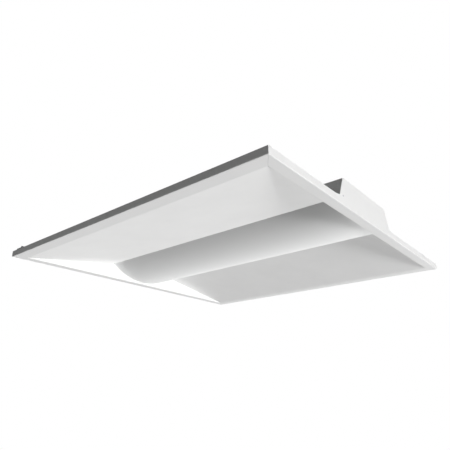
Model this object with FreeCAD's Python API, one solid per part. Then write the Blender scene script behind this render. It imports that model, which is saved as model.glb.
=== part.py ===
import FreeCAD, Part
import math
import os

from FreeCAD import Vector

# A recessed troffer light for a 2 ft by 2 ft lay-in ceiling grid. Millimetres.
# X runs along the lens, Y across it, Z up. The origin is the middle of the plane
# on which the rim's underside rests, so everything else stands above z = 0.

# ---------------------------------------------------------------- driving dimensions
# Sheet metal
SHEET = 0.8              # painted steel, all folded pieces
BEND = 0.4               # inside radius of every fold
SEAM = 0.05              # gap between two sheets that are welded together
MITRE_GAP = 0.1          # half the gap along each mitred corner of the rim

# Rim and recess
FIXTURE_LENGTH = 603.0   # along X, over the lips
FIXTURE_WIDTH = 603.0    # along Y, over the lips
LIP_HEIGHT = 11.0        # the rim's outer edge, turned up
SIDE_RIM = 22.8          # flat rim beside each reflector wing
END_RIM = 17.5           # flat rim beside each end plate
RECESS_HEIGHT = 31.2     # rise of a reflector from the rim to the lens
LENS_BAY = 87.0          # half the width between the two reflectors
HEM_HEIGHT = 8.8         # a wing's upright inner edge, beside the lens

# Spine housing
SPINE_RISE = 26.0        # from the gear tray's underside to the spine's flat top
SPINE_TOP_INSET = 7.0    # the flat top is this much narrower than the lens bay, on each side
SPINE_LEAN = 23.8        # lean of its side walls, degrees from upright
SPINE_BEND = 3.0         # inside radius of its folds
SPINE_FOOT = 14.0        # width of the foot that lies on each wing
WELD_FLANGE = 12.0       # width of the end plates' turned-in flanges

# Lens
LENS_DROP = 28.2         # how far its lowest line hangs below its edges
LENS_EDGE_RISE = 1.3     # its edges above the reflectors' inner edges
LENS_SIDE_GAP = 1.8      # from the reflectors' inner edges to the lens
LENS_WALL = 2.0
LENS_TOP_GAP = 3.6       # from its upright ribs to the gear tray
LENS_END_GAP = 0.6       # from the lens's ends to the end plates
CAP_WALL = 2.5           # moulded end caps inside the lens's ends
CAP_INSET = 1.3          # from the lens's end to the cap's face
CAP_FIT = 0.1            # between an end cap and the lens
PIVOT_RADIUS = 1.5
PIVOT_BOSS = 2.3         # outside radius of the boss round each pivot
PIVOT_LENGTH = 6.0       # length of each boss
PRESS_GAP = 0.02         # round a pin that is pressed in
RUNNING_GAP = 0.05       # round a pin that turns
CLEAR = 0.3              # between bodies that move past each other

# Lens catches: a blade on each end cap goes up between the two legs of a spring clip
CATCH_INSET = 11.2       # from the lens's long edge to the blade
CATCH_REACH = 12.0       # from the end cap to the blade's far end
CATCH_ARM = 6.0          # width of the arm that carries the blade
CATCH_ARM_DROP = 2.0     # from the cap's upper edge to the arm
CATCH_ARM_THICK = 2.5
CATCH_LENGTH = 8.0
CATCH_BLADE = 1.6
CATCH_BULB = 1.2         # radius of the bulb along the blade's top
CATCH_BULB_DROP = 2.4    # from the gear tray to the bulb's middle
CATCH_SHEET = 0.5        # spring steel
CATCH_LEG_DROP = 1.6     # from the bulb's middle to where the legs flare
CATCH_FLARE = 1.0
CATCH_BASE = 12.0        # length of the base beyond the legs

# Gear tray and light engine
TRAY_FLANGE = 9.0        # height of the tray's turned-up edges
TRAY_END_GAP = 1.0       # from the tray's ends to the end plates
TRAY_SCREW_INSET = 84.0  # the side screws, from the end plates
BOARD_END_GAP = 14.0     # from the boards' ends to the end plates
BOARD_WIDTH = 24.0
BOARD_THICK = 1.5
BOARD_OFFSET = 42.0      # from the centre line to each board's middle
CHIPS_PER_BOARD = 36
CHIP_LENGTH = 3.5
CHIP_WIDTH = 2.8
CHIP_HEIGHT = 0.8
BOARD_SCREWS = 3         # per board
CONNECTOR_LENGTH = 10.0
CONNECTOR_WIDTH = 8.0
CONNECTOR_HEIGHT = 4.0
CONNECTOR_INSET = 4.0    # from the board's end
CONNECTOR_EDGE = 1.0     # from the board's inner long edge

# Driver
DRIVER_LENGTH = 240.0
DRIVER_WIDTH = 40.0
DRIVER_HEIGHT = 19.0
DRIVER_X = 60.0          # its middle
DRIVER_Y = 25.0
DRIVER_EAR = 14.0        # length of each fixing ear
DRIVER_EAR_THICK = 1.2
DRIVER_EAR_INSET = 4.0   # from the driver's sides to the ears' sides
DRIVER_FOLD = 1.5        # radius of the case's long upper edges
TERMINAL_LENGTH = 16.0
TERMINAL_WIDTH = 24.0
TERMINAL_HEIGHT = 11.0
TERMINAL_LIFT = 3.0      # from the driver's underside to a terminal
TERMINAL_FIT = 0.2       # between a terminal and the driver's case
WIRE_PORT = 2.6          # across each square push-in wire port
PORT_HEIGHT = 4.0        # of the ports, from a terminal's underside
PORT_DEPTH = 7.0

# Supply wiring
BLOCK_X = -104.0         # middle of the supply terminal block
BLOCK_Y = 25.0
BLOCK_LENGTH = 18.0
BLOCK_WIDTH = 34.0
BLOCK_HEIGHT = 15.0
BLOCK_LUG = 7.0          # reach of the lug at each end
BLOCK_LUG_LENGTH = 12.0
BLOCK_FOOT = 2.5         # thickness of its lugs
BLOCK_PORT_HEIGHT = 7.0
GROUND_X = -104.0
GROUND_Y = -20.0
ENTRY_RADIUS = 11.1      # conduit entry, half-inch trade size
ENTRY_INSET = 79.0       # its middle, from the -X end plate
GROMMET_INSET = 52.0     # its middle, from the +X end plate
GROMMET_Y = -14.0
GROMMET_HOLE = 6.0       # radius of the tray's hole
GROMMET_BORE = 3.5
GROMMET_LIP = 1.6        # how far each lip reaches past the hole
GROMMET_LIP_THICK = 1.4

# Access cover
HATCH_LENGTH = 260.0
HATCH_WIDTH = 96.0
HATCH_CORNER = 6.0       # radius of the hatch's corners
COVER_CORNER = 4.0       # radius of the cover's free corners
COVER_OVERLAP = 12.0     # the cover beyond the hatch, at its ends and free edge
COVER_HINGE_SET = 11.0   # from the hatch's edge to the hinge pin
COVER_ROOT = 1.0         # from the knuckles to the cover's hinged edge
KNUCKLE_RADIUS = 2.4
COVER_PIN_RADIUS = 1.5
KNUCKLE_LENGTH = 14.0
KNUCKLE_GAP = 0.4
COVER_HINGE_X = 95.0     # the two hinges lie this far each side of the middle
LEAF_DEPTH = 14.0
COVER_SCREW_X = 115.0
COVER_SCREW_INSET = 5.5  # from the cover's free edge

# Corners and grid clips
GUSSET_LEG = 42.0
GUSSET_WALL = 8.0        # height of a gusset's turned-up edges
GUSSET_RELIEF = 3.0      # square cut out where its two bends would meet
CLIP_THICK = 1.2
CLIP_WIDTH = 9.0
CLIP_LENGTH = 21.0
CLIP_INSET = 12.5        # from the end lip to a clip's outer end
CLIP_TAB = 2.2           # height of the thumb tab on a clip's free end
CLIP_CORNER = 4.4        # radius of its round end's corners
CLIP_PIN_RADIUS = 1.6
CLIP_POST_RADIUS = 2.6
CLIP_POST_HEAD = 1.0

# Safety-wire ears on the end plates
EAR_INSET = 53.7         # an ear's middle, from the reflector's foot
EAR_WIDTH = 16.0
EAR_TOP = 27.0
EAR_HOLE = 2.6
EAR_HOLE_DROP = 6.5      # from the top of the ear to the hole's middle

# Screws
SCREW_RADIUS = 2.0
SCREW_HEAD = 3.6
SCREW_HEAD_HEIGHT = 2.2
SCREW_WASHER = 4.6
SCREW_WASHER_THICK = 0.8
SCREW_LENGTH = 6.0       # of the shank, below the washer
SCREW_HOLE_GAP = 0.1
LOOSE_HOLE_GAP = 0.5     # round the cover's screws in the spine's top
DRILL_REACH = 3.0        # of a cutting tool, past each side of the sheet it cuts
SMALL_SCREW_RADIUS = 1.4
SMALL_HEAD = 2.8
SMALL_HEAD_HEIGHT = 1.6

# ---------------------------------------------------------------- sizes that follow
HALF_LENGTH = FIXTURE_LENGTH / 2
HALF_WIDTH = FIXTURE_WIDTH / 2
END_FACE = HALF_LENGTH - END_RIM          # inner face of each end plate
END_BACK = END_FACE + SHEET               # outer face of each end plate
REFLECTOR_FOOT = HALF_WIDTH - SIDE_RIM    # where a reflector leaves the rim
REFLECTOR_SLOPE = RECESS_HEIGHT / (REFLECTOR_FOOT - LENS_BAY)
SHEET_UPRIGHT = SHEET * math.sqrt(1 + REFLECTOR_SLOPE**2)
HEM_TOP = RECESS_HEIGHT + HEM_HEIGHT
TRAY_Z = HEM_TOP                          # the tray's underside lies on the hems
TRAY_TOP = TRAY_Z + SHEET
TRAY_SCREW_X = END_FACE - TRAY_SCREW_INSET
SPINE_TOP = TRAY_Z + SPINE_RISE
SPINE_TOP_HALF = LENS_BAY - SPINE_TOP_INSET
LEAN = math.tan(math.radians(SPINE_LEAN))
WALL_ACROSS = SHEET / math.cos(math.radians(SPINE_LEAN))
LENS_HALF = LENS_BAY - LENS_SIDE_GAP
LENS_RADIUS = (LENS_HALF**2 + LENS_DROP**2) / (2 * LENS_DROP)
LENS_BOTTOM = RECESS_HEIGHT + LENS_EDGE_RISE - LENS_DROP
LENS_CENTRE = LENS_BOTTOM + LENS_RADIUS
LENS_RIB_TOP = TRAY_Z - LENS_TOP_GAP
LENS_END = END_FACE - LENS_END_GAP
CAP_FACE = LENS_END - CAP_INSET
CATCH_Y = LENS_HALF - CATCH_INSET
CATCH_ARM_TOP = LENS_RIB_TOP - CATCH_ARM_DROP
CATCH_BULB_Z = TRAY_Z - CATCH_BULB_DROP
BOARD_Z = TRAY_Z - BOARD_THICK
BOARD_LENGTH = 2 * (END_FACE - BOARD_END_GAP)
ENTRY_X = ENTRY_INSET - END_FACE
GROMMET_X = END_FACE - GROMMET_INSET
EAR_Y = REFLECTOR_FOOT - EAR_INSET
COVER_UNDER = SPINE_TOP + CLEAR
COVER_TOP = COVER_UNDER + SHEET
HINGE_Y = -(HATCH_WIDTH / 2 + COVER_HINGE_SET)
HINGE_Z = COVER_UNDER + KNUCKLE_RADIUS
CLIP_Z = LIP_HEIGHT + CLEAR
CLIP_END_X = HALF_LENGTH - CLIP_INSET
CLIP_PIVOT_X = CLIP_END_X - CLIP_WIDTH / 2
CLIP_PIVOT_Y = HALF_WIDTH - 2 * SHEET - SEAM - CLEAR - CLIP_POST_RADIUS

X_AXIS = Vector(1, 0, 0)
Y_AXIS = Vector(0, 1, 0)
Z_AXIS = Vector(0, 0, 1)
ORIGIN = Vector(0, 0, 0)


def reflector_z(y):
    """Height of the reflectors' visible face at distance y from the centre line."""
    return (REFLECTOR_FOOT - y) * REFLECTOR_SLOPE


def wing_top(y):
    """Height of the reflectors' upper face, on which flanges lie."""
    return reflector_z(y) + SHEET_UPRIGHT


def spine_half(z):
    """Half the spine's width, over its walls, at height z."""
    return SPINE_TOP_HALF + (SPINE_TOP - z) * LEAN


def spine_inside(z):
    """Half the spine's width between its walls, at height z."""
    return spine_half(z) - WALL_ACROSS


def spine_foot_y():
    """Where the spine's wall meets the upper face of its own foot."""
    foot_top = 2 * SHEET_UPRIGHT + SEAM + REFLECTOR_FOOT * REFLECTOR_SLOPE
    return (SPINE_TOP_HALF + (SPINE_TOP - foot_top) * LEAN) / (1 - REFLECTOR_SLOPE * LEAN)


def lens_z(y, radius=LENS_RADIUS):
    """Height of a curve round the lens's centre line at distance y."""
    return LENS_CENTRE - math.sqrt(radius**2 - y**2)


PIVOT_Y = -(LENS_HALF - LENS_WALL / 2)
PIVOT_Z = (lens_z(LENS_HALF) + lens_z(LENS_HALF - LENS_WALL, LENS_RADIUS - LENS_WALL)) / 2

# ---------------------------------------------------------------- shapes and folds


def in_yz(x):
    return lambda u, v: Vector(x, u, v)


def in_xz(y):
    return lambda u, v: Vector(u, y, v)


def in_xy(z):
    return lambda u, v: Vector(u, v, z)


def polygon(points, place):
    corners = [place(u, v) for u, v in points]
    return Part.Face(Part.makePolygon(corners + corners[:1]))


def bar_x(points, start, end):
    """A straight bar along X whose section is given in Y and Z."""
    return polygon(points, in_yz(start)).extrude(Vector(end - start, 0, 0))


def bar_z(points, start, end):
    """A straight bar along Z whose section is given in X and Y."""
    return polygon(points, in_xy(start)).extrude(Vector(0, 0, end - start))


def block(x, y, z):
    """A box between the two values of each pair."""
    return Part.makeBox(x[1] - x[0], y[1] - y[0], z[1] - z[0], Vector(x[0], y[0], z[0]))


def rounded_line(points, radii, place):
    """Edges along a line of points, its inner corners rounded as arcs."""
    corners = [Vector(u, v, 0) for u, v in points]
    edges = []
    here = corners[0]
    for i in range(1, len(corners) - 1):
        before = (corners[i] - corners[i - 1]).normalize()
        after = (corners[i + 1] - corners[i]).normalize()
        half = before.getAngle(after) / 2
        inward = (after - before).normalize()
        start = corners[i] - before * (radii[i] * math.tan(half))
        end = corners[i] + after * (radii[i] * math.tan(half))
        middle = corners[i] + inward * (radii[i] / math.cos(half) - radii[i])
        edges.append(Part.LineSegment(place(here.x, here.y), place(start.x, start.y)).toShape())
        arc = Part.Arc(place(start.x, start.y), place(middle.x, middle.y), place(end.x, end.y))
        edges.append(arc.toShape())
        here = end
    last = corners[-1]
    edges.append(Part.LineSegment(place(here.x, here.y), place(last.x, last.y)).toShape())
    return edges


def folded_face(points, place, thick, bend):
    """Section of a folded sheet. The points run along one face; the sheet lies to their left."""
    corners = [Vector(u, v, 0) for u, v in points]
    ways = [(b - a).normalize() for a, b in zip(corners, corners[1:])]
    lefts = [Vector(-way.y, way.x, 0) for way in ways]
    other = [corners[0] + lefts[0] * thick]
    near_radii = [0.0]
    far_radii = [0.0]
    for i in range(1, len(corners) - 1):
        both = lefts[i - 1] + lefts[i]
        other.append(corners[i] + both * (thick / (1 + lefts[i - 1].dot(lefts[i]))))
        turns_left = ways[i - 1].cross(ways[i]).z > 0
        near_radii.append(bend + thick if turns_left else bend)
        far_radii.append(bend if turns_left else bend + thick)
    other.append(corners[-1] + lefts[-1] * thick)
    near_radii.append(0.0)
    far_radii.append(0.0)
    far_points = [(p.x, p.y) for p in other]
    near = rounded_line(points, near_radii, place)
    far = rounded_line(far_points, far_radii, place)
    joins = [
        Part.LineSegment(place(*points[0]), place(*far_points[0])).toShape(),
        Part.LineSegment(place(*points[-1]), place(*far_points[-1])).toShape(),
    ]
    return Part.Face(Part.Wire(Part.__sortEdges__(near + far + joins)))


def folded_x(points, start, end, thick=SHEET, bend=BEND):
    """A folded sheet that runs along X."""
    return folded_face(points, in_yz(start), thick, bend).extrude(Vector(end - start, 0, 0))


def folded_y(points, start, end, thick=SHEET, bend=BEND):
    """A folded sheet that runs along Y."""
    return folded_face(points, in_xz(start), thick, bend).extrude(Vector(0, end - start, 0))


def rod(radius, base, way, length):
    return Part.makeCylinder(radius, length, base, way)


def drill(radius, place, way=Z_AXIS):
    """A round cutting tool that reaches past a sheet on both sides of a place."""
    return rod(radius, place - way * DRILL_REACH, way, 2 * DRILL_REACH)


def upright_edges(shape):
    return [e for e in shape.Edges if e.BoundBox.XLength + e.BoundBox.YLength < 0.001]


def turned(shape):
    """A copy turned half round about the fixture's upright centre line."""
    copy = shape.copy()
    copy.rotate(ORIGIN, Z_AXIS, 180)
    return copy


def flipped(shape, normal):
    """A mirror image across the middle of the fixture."""
    return shape.mirror(ORIGIN, normal)


def placed(shape, base, way=Z_AXIS):
    """A copy set at a point, with its own Z turned to the given way."""
    copy = shape.copy()
    copy.Placement = FreeCAD.Placement(base, FreeCAD.Rotation(Z_AXIS, way))
    return copy


def even_places(count, span):
    """Middles of a row of equal spaces that fill a span about zero."""
    return [span * ((i + 0.5) / count - 0.5) for i in range(count)]


def save(name, shape):
    shape.exportStep(f"parts/{name}.step")


def save_group(name, shapes):
    save(name, Part.makeCompound(shapes))


# ---------------------------------------------------------------- fasteners


def washer_head_screw():
    """Self-tapping screw with a hexagonal washer head; its seat is at z = 0."""
    corners = [
        (SCREW_HEAD * math.cos(math.radians(60 * i)), SCREW_HEAD * math.sin(math.radians(60 * i)))
        for i in range(6)
    ]
    head = bar_z(corners, 0, SCREW_WASHER_THICK + SCREW_HEAD_HEIGHT)
    washer = rod(SCREW_WASHER, ORIGIN, Z_AXIS, SCREW_WASHER_THICK)
    shank = rod(SCREW_RADIUS, Vector(0, 0, -SCREW_LENGTH), Z_AXIS, SCREW_LENGTH)
    return head.fuse([washer, shank]).removeSplitter()


def small_screw(grip):
    """Cheese-head screw through pieces as thick as its grip, its seat at z = 0."""
    head = rod(SMALL_HEAD, ORIGIN, Z_AXIS, SMALL_HEAD_HEIGHT)
    return head.fuse(rod(SMALL_SCREW_RADIUS, Vector(0, 0, -grip), Z_AXIS, grip))


# ---------------------------------------------------------------- rim, reflectors and ends


def mitre_line(gap):
    """Ends of the mitre at the +X, +Y corner, moved along X by a gap and drawn out past the lips."""
    inner = (END_FACE + gap, REFLECTOR_FOOT)
    return inner, (inner[0] + 2 * END_RIM, inner[1] + 2 * SIDE_RIM)


def side_wing():
    """The +Y wing: lip, rim, sloping reflector, upright hem and hem flange in one folded sheet."""
    hem_edge = spine_inside(HEM_TOP) - CLEAR
    line = [
        (hem_edge, HEM_TOP),
        (LENS_BAY, HEM_TOP),
        (LENS_BAY, RECESS_HEIGHT),
        (REFLECTOR_FOOT, 0),
        (HALF_WIDTH, 0),
        (HALF_WIDTH, LIP_HEIGHT),
    ]
    wing = folded_x(line, -HALF_LENGTH, HALF_LENGTH)
    inner, outer = mitre_line(-MITRE_GAP)
    beyond = bar_z([(inner[0], 0), inner, outer, (outer[0], 0)], -BEND, SPINE_TOP)
    return wing.cut([beyond, flipped(beyond, X_AXIS)])


def end_plate():
    """The +X end: lip, rim and upright plate, with flanges turned in over wings and under spine."""
    strip_top = SHEET + BEND + SEAM
    rim = folded_y(
        [(END_FACE, strip_top), (END_FACE, 0), (HALF_LENGTH, 0), (HALF_LENGTH, LIP_HEIGHT)],
        -HALF_WIDTH,
        HALF_WIDTH,
    )

    # The upright plate follows the wings and covers the spine's end.
    lift = SEAM + SHEET_UPRIGHT
    low_y = REFLECTOR_FOOT - (strip_top - lift - SHEET_UPRIGHT) / REFLECTOR_SLOPE
    shoulder = spine_foot_y()
    half_outline = [
        (low_y, strip_top),
        (shoulder, wing_top(shoulder) + lift),
        (SPINE_TOP_HALF, SPINE_TOP),
    ]
    outline = half_outline + [(-y, z) for y, z in reversed(half_outline)]
    plate = bar_x(outline, END_FACE, END_BACK)
    top_corners = [
        e for e in plate.Edges if abs(e.Length - SHEET) < 0.01 and e.CenterOfMass.z > SPINE_TOP - 1
    ]
    plate = plate.makeFillet(SPINE_BEND + SHEET, top_corners)

    # Flanges: one on each wing, and one round the inside of the spine.
    flange_start = END_BACK - WELD_FLANGE
    inner_y = shoulder + SPINE_BEND
    outer_y = REFLECTOR_FOOT - BEND - SHEET
    slope_flange = folded_x(
        [(inner_y, wing_top(inner_y) + SEAM), (outer_y, wing_top(outer_y) + SEAM)], flange_start, END_BACK
    )
    top = SPINE_TOP - SHEET - SEAM
    side = [(spine_inside(z) - SEAM, z) for z in (TRAY_TOP + CLEAR, top)]
    hood = folded_x(
        side + [(-y, z) for y, z in reversed(side)],
        flange_start,
        END_BACK,
        SHEET,
        SPINE_BEND - SHEET,
    )

    # Two upright ears take the safety wires.
    ears = [
        block(
            (END_FACE, END_BACK),
            (side * EAR_Y - EAR_WIDTH / 2, side * EAR_Y + EAR_WIDTH / 2),
            (reflector_z(EAR_Y), EAR_TOP),
        )
        for side in (1, -1)
    ]
    shape = rim.fuse([plate, slope_flange, flipped(slope_flange, Y_AXIS), hood] + ears)
    inner, outer = mitre_line(MITRE_GAP)
    beyond = bar_z([(0, inner[1]), inner, outer, (0, outer[1])], -BEND, SPINE_TOP)
    holes = [
        drill(EAR_HOLE, Vector(END_FACE, side * EAR_Y, EAR_TOP - EAR_HOLE_DROP), X_AXIS)
        for side in (1, -1)
    ]
    pivot_hole = drill(PIVOT_RADIUS + RUNNING_GAP, Vector(END_FACE, PIVOT_Y, PIVOT_Z), X_AXIS)
    return shape.cut(holes + [pivot_hole, beyond, flipped(beyond, Y_AXIS)]).removeSplitter()


def corner_gusset():
    """The +X, +Y corner piece: a flat angle on both rims, with edges turned up inside the lips."""
    floor = SHEET + SEAM
    outer_x = HALF_LENGTH - SHEET - SEAM
    outer_y = HALF_WIDTH - SHEET - SEAM
    inner_x = END_BACK + 2 * SHEET
    inner_y = REFLECTOR_FOOT + 2 * SHEET
    far_x = outer_x - GUSSET_LEG
    far_y = outer_y - GUSSET_LEG
    flat = bar_z(
        [
            (outer_x, outer_y),
            (far_x, outer_y),
            (far_x, inner_y),
            (inner_x, inner_y),
            (inner_x, far_y),
            (outer_x, far_y),
        ],
        floor,
        floor + SHEET,
    )
    along_x = block((far_x, outer_x), (outer_y - SHEET, outer_y), (floor, floor + GUSSET_WALL))
    along_y = block((outer_x - SHEET, outer_x), (far_y, outer_y), (floor, floor + GUSSET_WALL))
    angle = flat.fuse([along_x, along_y]).removeSplitter()
    relief = block(
        (outer_x - GUSSET_RELIEF, outer_x), (outer_y - GUSSET_RELIEF, outer_y), (0, LIP_HEIGHT)
    )
    angle = angle.cut(relief)
    bends = [
        e
        for e in angle.Edges
        if e.Length > GUSSET_LEG / 2
        and abs(e.CenterOfMass.z - floor) < 0.01
        and max(e.CenterOfMass.x - outer_x, e.CenterOfMass.y - outer_y) > -0.01
    ]
    return angle.makeFillet(BEND + SHEET, bends)


def grid_clip():
    """A steel finger over the +Y lip, near +X, with a thumb tab on its free end."""
    start = CLIP_END_X - CLIP_LENGTH
    sides = (CLIP_PIVOT_Y - CLIP_WIDTH / 2, CLIP_PIVOT_Y + CLIP_WIDTH / 2)
    finger = block((start, CLIP_END_X), sides, (CLIP_Z, CLIP_Z + CLIP_THICK))
    outer_corners = [e for e in upright_edges(finger) if e.CenterOfMass.x > start + CLIP_WIDTH]
    finger = finger.makeFillet(CLIP_CORNER, outer_corners)
    tab = block((start, start + CLIP_THICK), sides, (CLIP_Z, CLIP_Z + CLIP_THICK + CLIP_TAB))
    hole = drill(CLIP_PIN_RADIUS + RUNNING_GAP, Vector(CLIP_PIVOT_X, CLIP_PIVOT_Y, CLIP_Z))
    return finger.fuse(tab).cut(hole).removeSplitter()


def clip_post():
    """Shouldered post that stands on a corner gusset and carries a grid clip."""
    foot = SHEET + SEAM + SHEET
    clip_top = CLIP_Z + CLIP_THICK
    base = Vector(CLIP_PIVOT_X, CLIP_PIVOT_Y, foot)
    shoulder = rod(CLIP_POST_RADIUS, base, Z_AXIS, CLIP_Z - CLEAR - foot)
    neck = rod(CLIP_PIN_RADIUS, base, Z_AXIS, clip_top + CLEAR - foot)
    top = Vector(CLIP_PIVOT_X, CLIP_PIVOT_Y, clip_top + CLEAR)
    head = rod(CLIP_POST_RADIUS, top, Z_AXIS, CLIP_POST_HEAD)
    return shoulder.fuse([neck, head]).removeSplitter()


# ---------------------------------------------------------------- spine and access cover


def spine_housing():
    """Inverted trough over the lens, with out-turned feet, a hatch, and a conduit entry."""
    half = END_FACE - SEAM
    lift = SEAM + SHEET_UPRIGHT
    shoulder = spine_foot_y()
    foot_edge = shoulder + SPINE_FOOT
    side = [
        (foot_edge, wing_top(foot_edge) + lift),
        (shoulder, wing_top(shoulder) + lift),
        (SPINE_TOP_HALF, SPINE_TOP),
    ]
    trough = folded_x(side + [(-y, z) for y, z in reversed(side)], -half, half, SHEET, SPINE_BEND)

    # The feet stop short of the end plates' flanges, which lie on the same faces.
    step = END_BACK - WELD_FLANGE - CLEAR
    foot_cut = block(
        (step, step + WELD_FLANGE),
        (shoulder - SPINE_BEND, foot_edge + SPINE_BEND),
        (0, wing_top(shoulder) + SPINE_BEND),
    )
    foot_cuts = [foot_cut, flipped(foot_cut, X_AXIS), flipped(foot_cut, Y_AXIS), turned(foot_cut)]
    hatch = block(
        (-HATCH_LENGTH / 2, HATCH_LENGTH / 2),
        (-HATCH_WIDTH / 2, HATCH_WIDTH / 2),
        (SPINE_TOP - DRILL_REACH, SPINE_TOP + DRILL_REACH),
    )
    hatch = hatch.makeFillet(HATCH_CORNER, upright_edges(hatch))
    entry = drill(ENTRY_RADIUS, Vector(ENTRY_X, 0, SPINE_TOP))
    cover_holes = [drill(SCREW_RADIUS + LOOSE_HOLE_GAP, place) for place in cover_screw_places()]
    side_holes = [drill(SCREW_RADIUS + SCREW_HOLE_GAP, base, way) for base, way in tray_screw_places()]
    return trough.cut(foot_cuts + [hatch, entry] + cover_holes + side_holes).removeSplitter()


def cover_screw_places():
    """Seats of the two screws near the cover's free edge."""
    y = HATCH_WIDTH / 2 + COVER_OVERLAP - COVER_SCREW_INSET
    return [Vector(x, y, COVER_TOP) for x in (-COVER_SCREW_X, COVER_SCREW_X)]


def knuckle(start):
    """A rolled knuckle along X at the cover's hinge line, and the tool that bores it."""
    base = Vector(start, HINGE_Y, HINGE_Z)
    outer = rod(KNUCKLE_RADIUS, base, X_AXIS, KNUCKLE_LENGTH)
    return outer, rod(COVER_PIN_RADIUS + RUNNING_GAP, base, X_AXIS, KNUCKLE_LENGTH)


def access_cover():
    """Flat cover over the hatch, with one rolled knuckle per hinge along its -Y edge."""
    half = HATCH_LENGTH / 2 + COVER_OVERLAP
    free_edge = HATCH_WIDTH / 2 + COVER_OVERLAP
    root_edge = HINGE_Y + KNUCKLE_RADIUS + COVER_ROOT
    plate = block((-half, half), (root_edge, free_edge), (COVER_UNDER, COVER_TOP))
    plate = plate.makeFillet(COVER_CORNER, [e for e in upright_edges(plate) if e.CenterOfMass.y > 0])
    pieces = []
    bores = []
    for middle in (-COVER_HINGE_X, COVER_HINGE_X):
        start = middle - KNUCKLE_LENGTH / 2
        outer, bore = knuckle(start)
        tongue = block((start, start + KNUCKLE_LENGTH), (HINGE_Y, root_edge), (COVER_UNDER, COVER_TOP))
        pieces += [outer, tongue]
        bores.append(bore)
    holes = [drill(SCREW_RADIUS + SCREW_HOLE_GAP, place) for place in cover_screw_places()]
    return plate.fuse(pieces).cut(bores + holes).removeSplitter()


def hinge_leaf(middle):
    """Fixed half of one hinge: a leaf on the spine's top with two rolled knuckles."""
    reach = KNUCKLE_LENGTH * 1.5 + KNUCKLE_GAP
    back = HINGE_Y - KNUCKLE_RADIUS - CLEAR
    height = (SPINE_TOP, SPINE_TOP + SHEET)
    leaf = block((middle - reach, middle + reach), (back - LEAF_DEPTH, back), height)
    pieces = []
    bores = []
    for start in (middle - reach, middle + reach - KNUCKLE_LENGTH):
        outer, bore = knuckle(start)
        tongue = block((start, start + KNUCKLE_LENGTH), (back, HINGE_Y), height)
        pieces += [outer, tongue]
        bores.append(bore)
    return leaf.fuse(pieces).cut(bores).removeSplitter()


def cover_hinge_pin(middle):
    length = 3 * KNUCKLE_LENGTH + 2 * KNUCKLE_GAP
    return rod(COVER_PIN_RADIUS, Vector(middle - length / 2, HINGE_Y, HINGE_Z), X_AXIS, length)


# ---------------------------------------------------------------- gear tray and light engine


def tray_screw_places():
    """Seats of the screws that hold the tray's edges to the spine's walls, outside the walls."""
    height = TRAY_TOP + TRAY_FLANGE / 2
    lean = math.radians(SPINE_LEAN)
    places = []
    for side in (1, -1):
        way = Vector(0, side * math.cos(lean), math.sin(lean))
        for x in (-TRAY_SCREW_X, TRAY_SCREW_X):
            places.append((Vector(x, side * spine_half(height), height), way))
    return places


def gear_tray():
    """Shallow pan that closes the spine; its edges are turned up along the spine's walls."""
    fit = WALL_ACROSS + SEAM
    ends = END_FACE - TRAY_END_GAP
    top = TRAY_Z + TRAY_FLANGE
    side = [(spine_half(top) - fit, top), (spine_half(TRAY_Z) - fit, TRAY_Z)]
    pan = folded_x([(-y, z) for y, z in side] + side[::-1], -ends, ends)
    # Its corners are notched round the end plates' flanges.
    notch_x = END_BACK - WELD_FLANGE - CLEAR
    notch_y = spine_half(top) - fit - 2 * SHEET
    notch = block((notch_x, END_BACK), (notch_y, notch_y * 2), (TRAY_Z, top))
    notches = [notch, flipped(notch, X_AXIS), flipped(notch, Y_AXIS), turned(notch)]
    holes = [drill(SCREW_RADIUS + SCREW_HOLE_GAP, base, way) for base, way in tray_screw_places()]
    holes.append(drill(SCREW_RADIUS + SCREW_HOLE_GAP, Vector(GROUND_X, GROUND_Y, TRAY_TOP)))
    holes.append(drill(GROMMET_HOLE, Vector(GROMMET_X, GROMMET_Y, TRAY_TOP)))
    for place in board_screw_places() + gear_screw_places():
        holes.append(small_hole(place))
    return pan.cut(notches + holes)


def small_hole(place):
    return drill(SMALL_SCREW_RADIUS + SCREW_HOLE_GAP, place)


def board_screw_places():
    """Seats under the boards, each midway between two neighbouring chips."""
    pitch = BOARD_LENGTH / CHIPS_PER_BOARD
    spans = even_places(BOARD_SCREWS, BOARD_LENGTH)
    return [
        Vector(pitch * round(x / pitch), side * BOARD_OFFSET, BOARD_Z)
        for side in (1, -1)
        for x in spans
    ]


def chip_places():
    return even_places(CHIPS_PER_BOARD, BOARD_LENGTH)


def led_board(side):
    """One long board under the tray, drilled for its screws."""
    middle = side * BOARD_OFFSET
    board = block(
        (-BOARD_LENGTH / 2, BOARD_LENGTH / 2),
        (middle - BOARD_WIDTH / 2, middle + BOARD_WIDTH / 2),
        (BOARD_Z, TRAY_Z),
    )
    return board.cut([small_hole(place) for place in board_screw_places()])


def led_chips(side):
    middle = side * BOARD_OFFSET
    return [
        block(
            (x - CHIP_LENGTH / 2, x + CHIP_LENGTH / 2),
            (middle - CHIP_WIDTH / 2, middle + CHIP_WIDTH / 2),
            (BOARD_Z - CHIP_HEIGHT, BOARD_Z),
        )
        for x in chip_places()
    ]


def board_connector():
    """Two-way push-in connector at the +Y board's +X end, its ports towards the grommet."""
    end = BOARD_LENGTH / 2 - CONNECTOR_INSET
    edge = BOARD_OFFSET - BOARD_WIDTH / 2 + CONNECTOR_EDGE
    body = block(
        (end - CONNECTOR_LENGTH, end),
        (edge, edge + CONNECTOR_WIDTH),
        (BOARD_Z - CONNECTOR_HEIGHT, BOARD_Z),
    )
    middle = edge + CONNECTOR_WIDTH / 2
    height = BOARD_Z - CONNECTOR_HEIGHT / 2
    ports = [
        wire_port(end - CONNECTOR_LENGTH, -1, middle + y, height) for y in even_places(2, CONNECTOR_WIDTH)
    ]
    return body.cut(ports)


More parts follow.
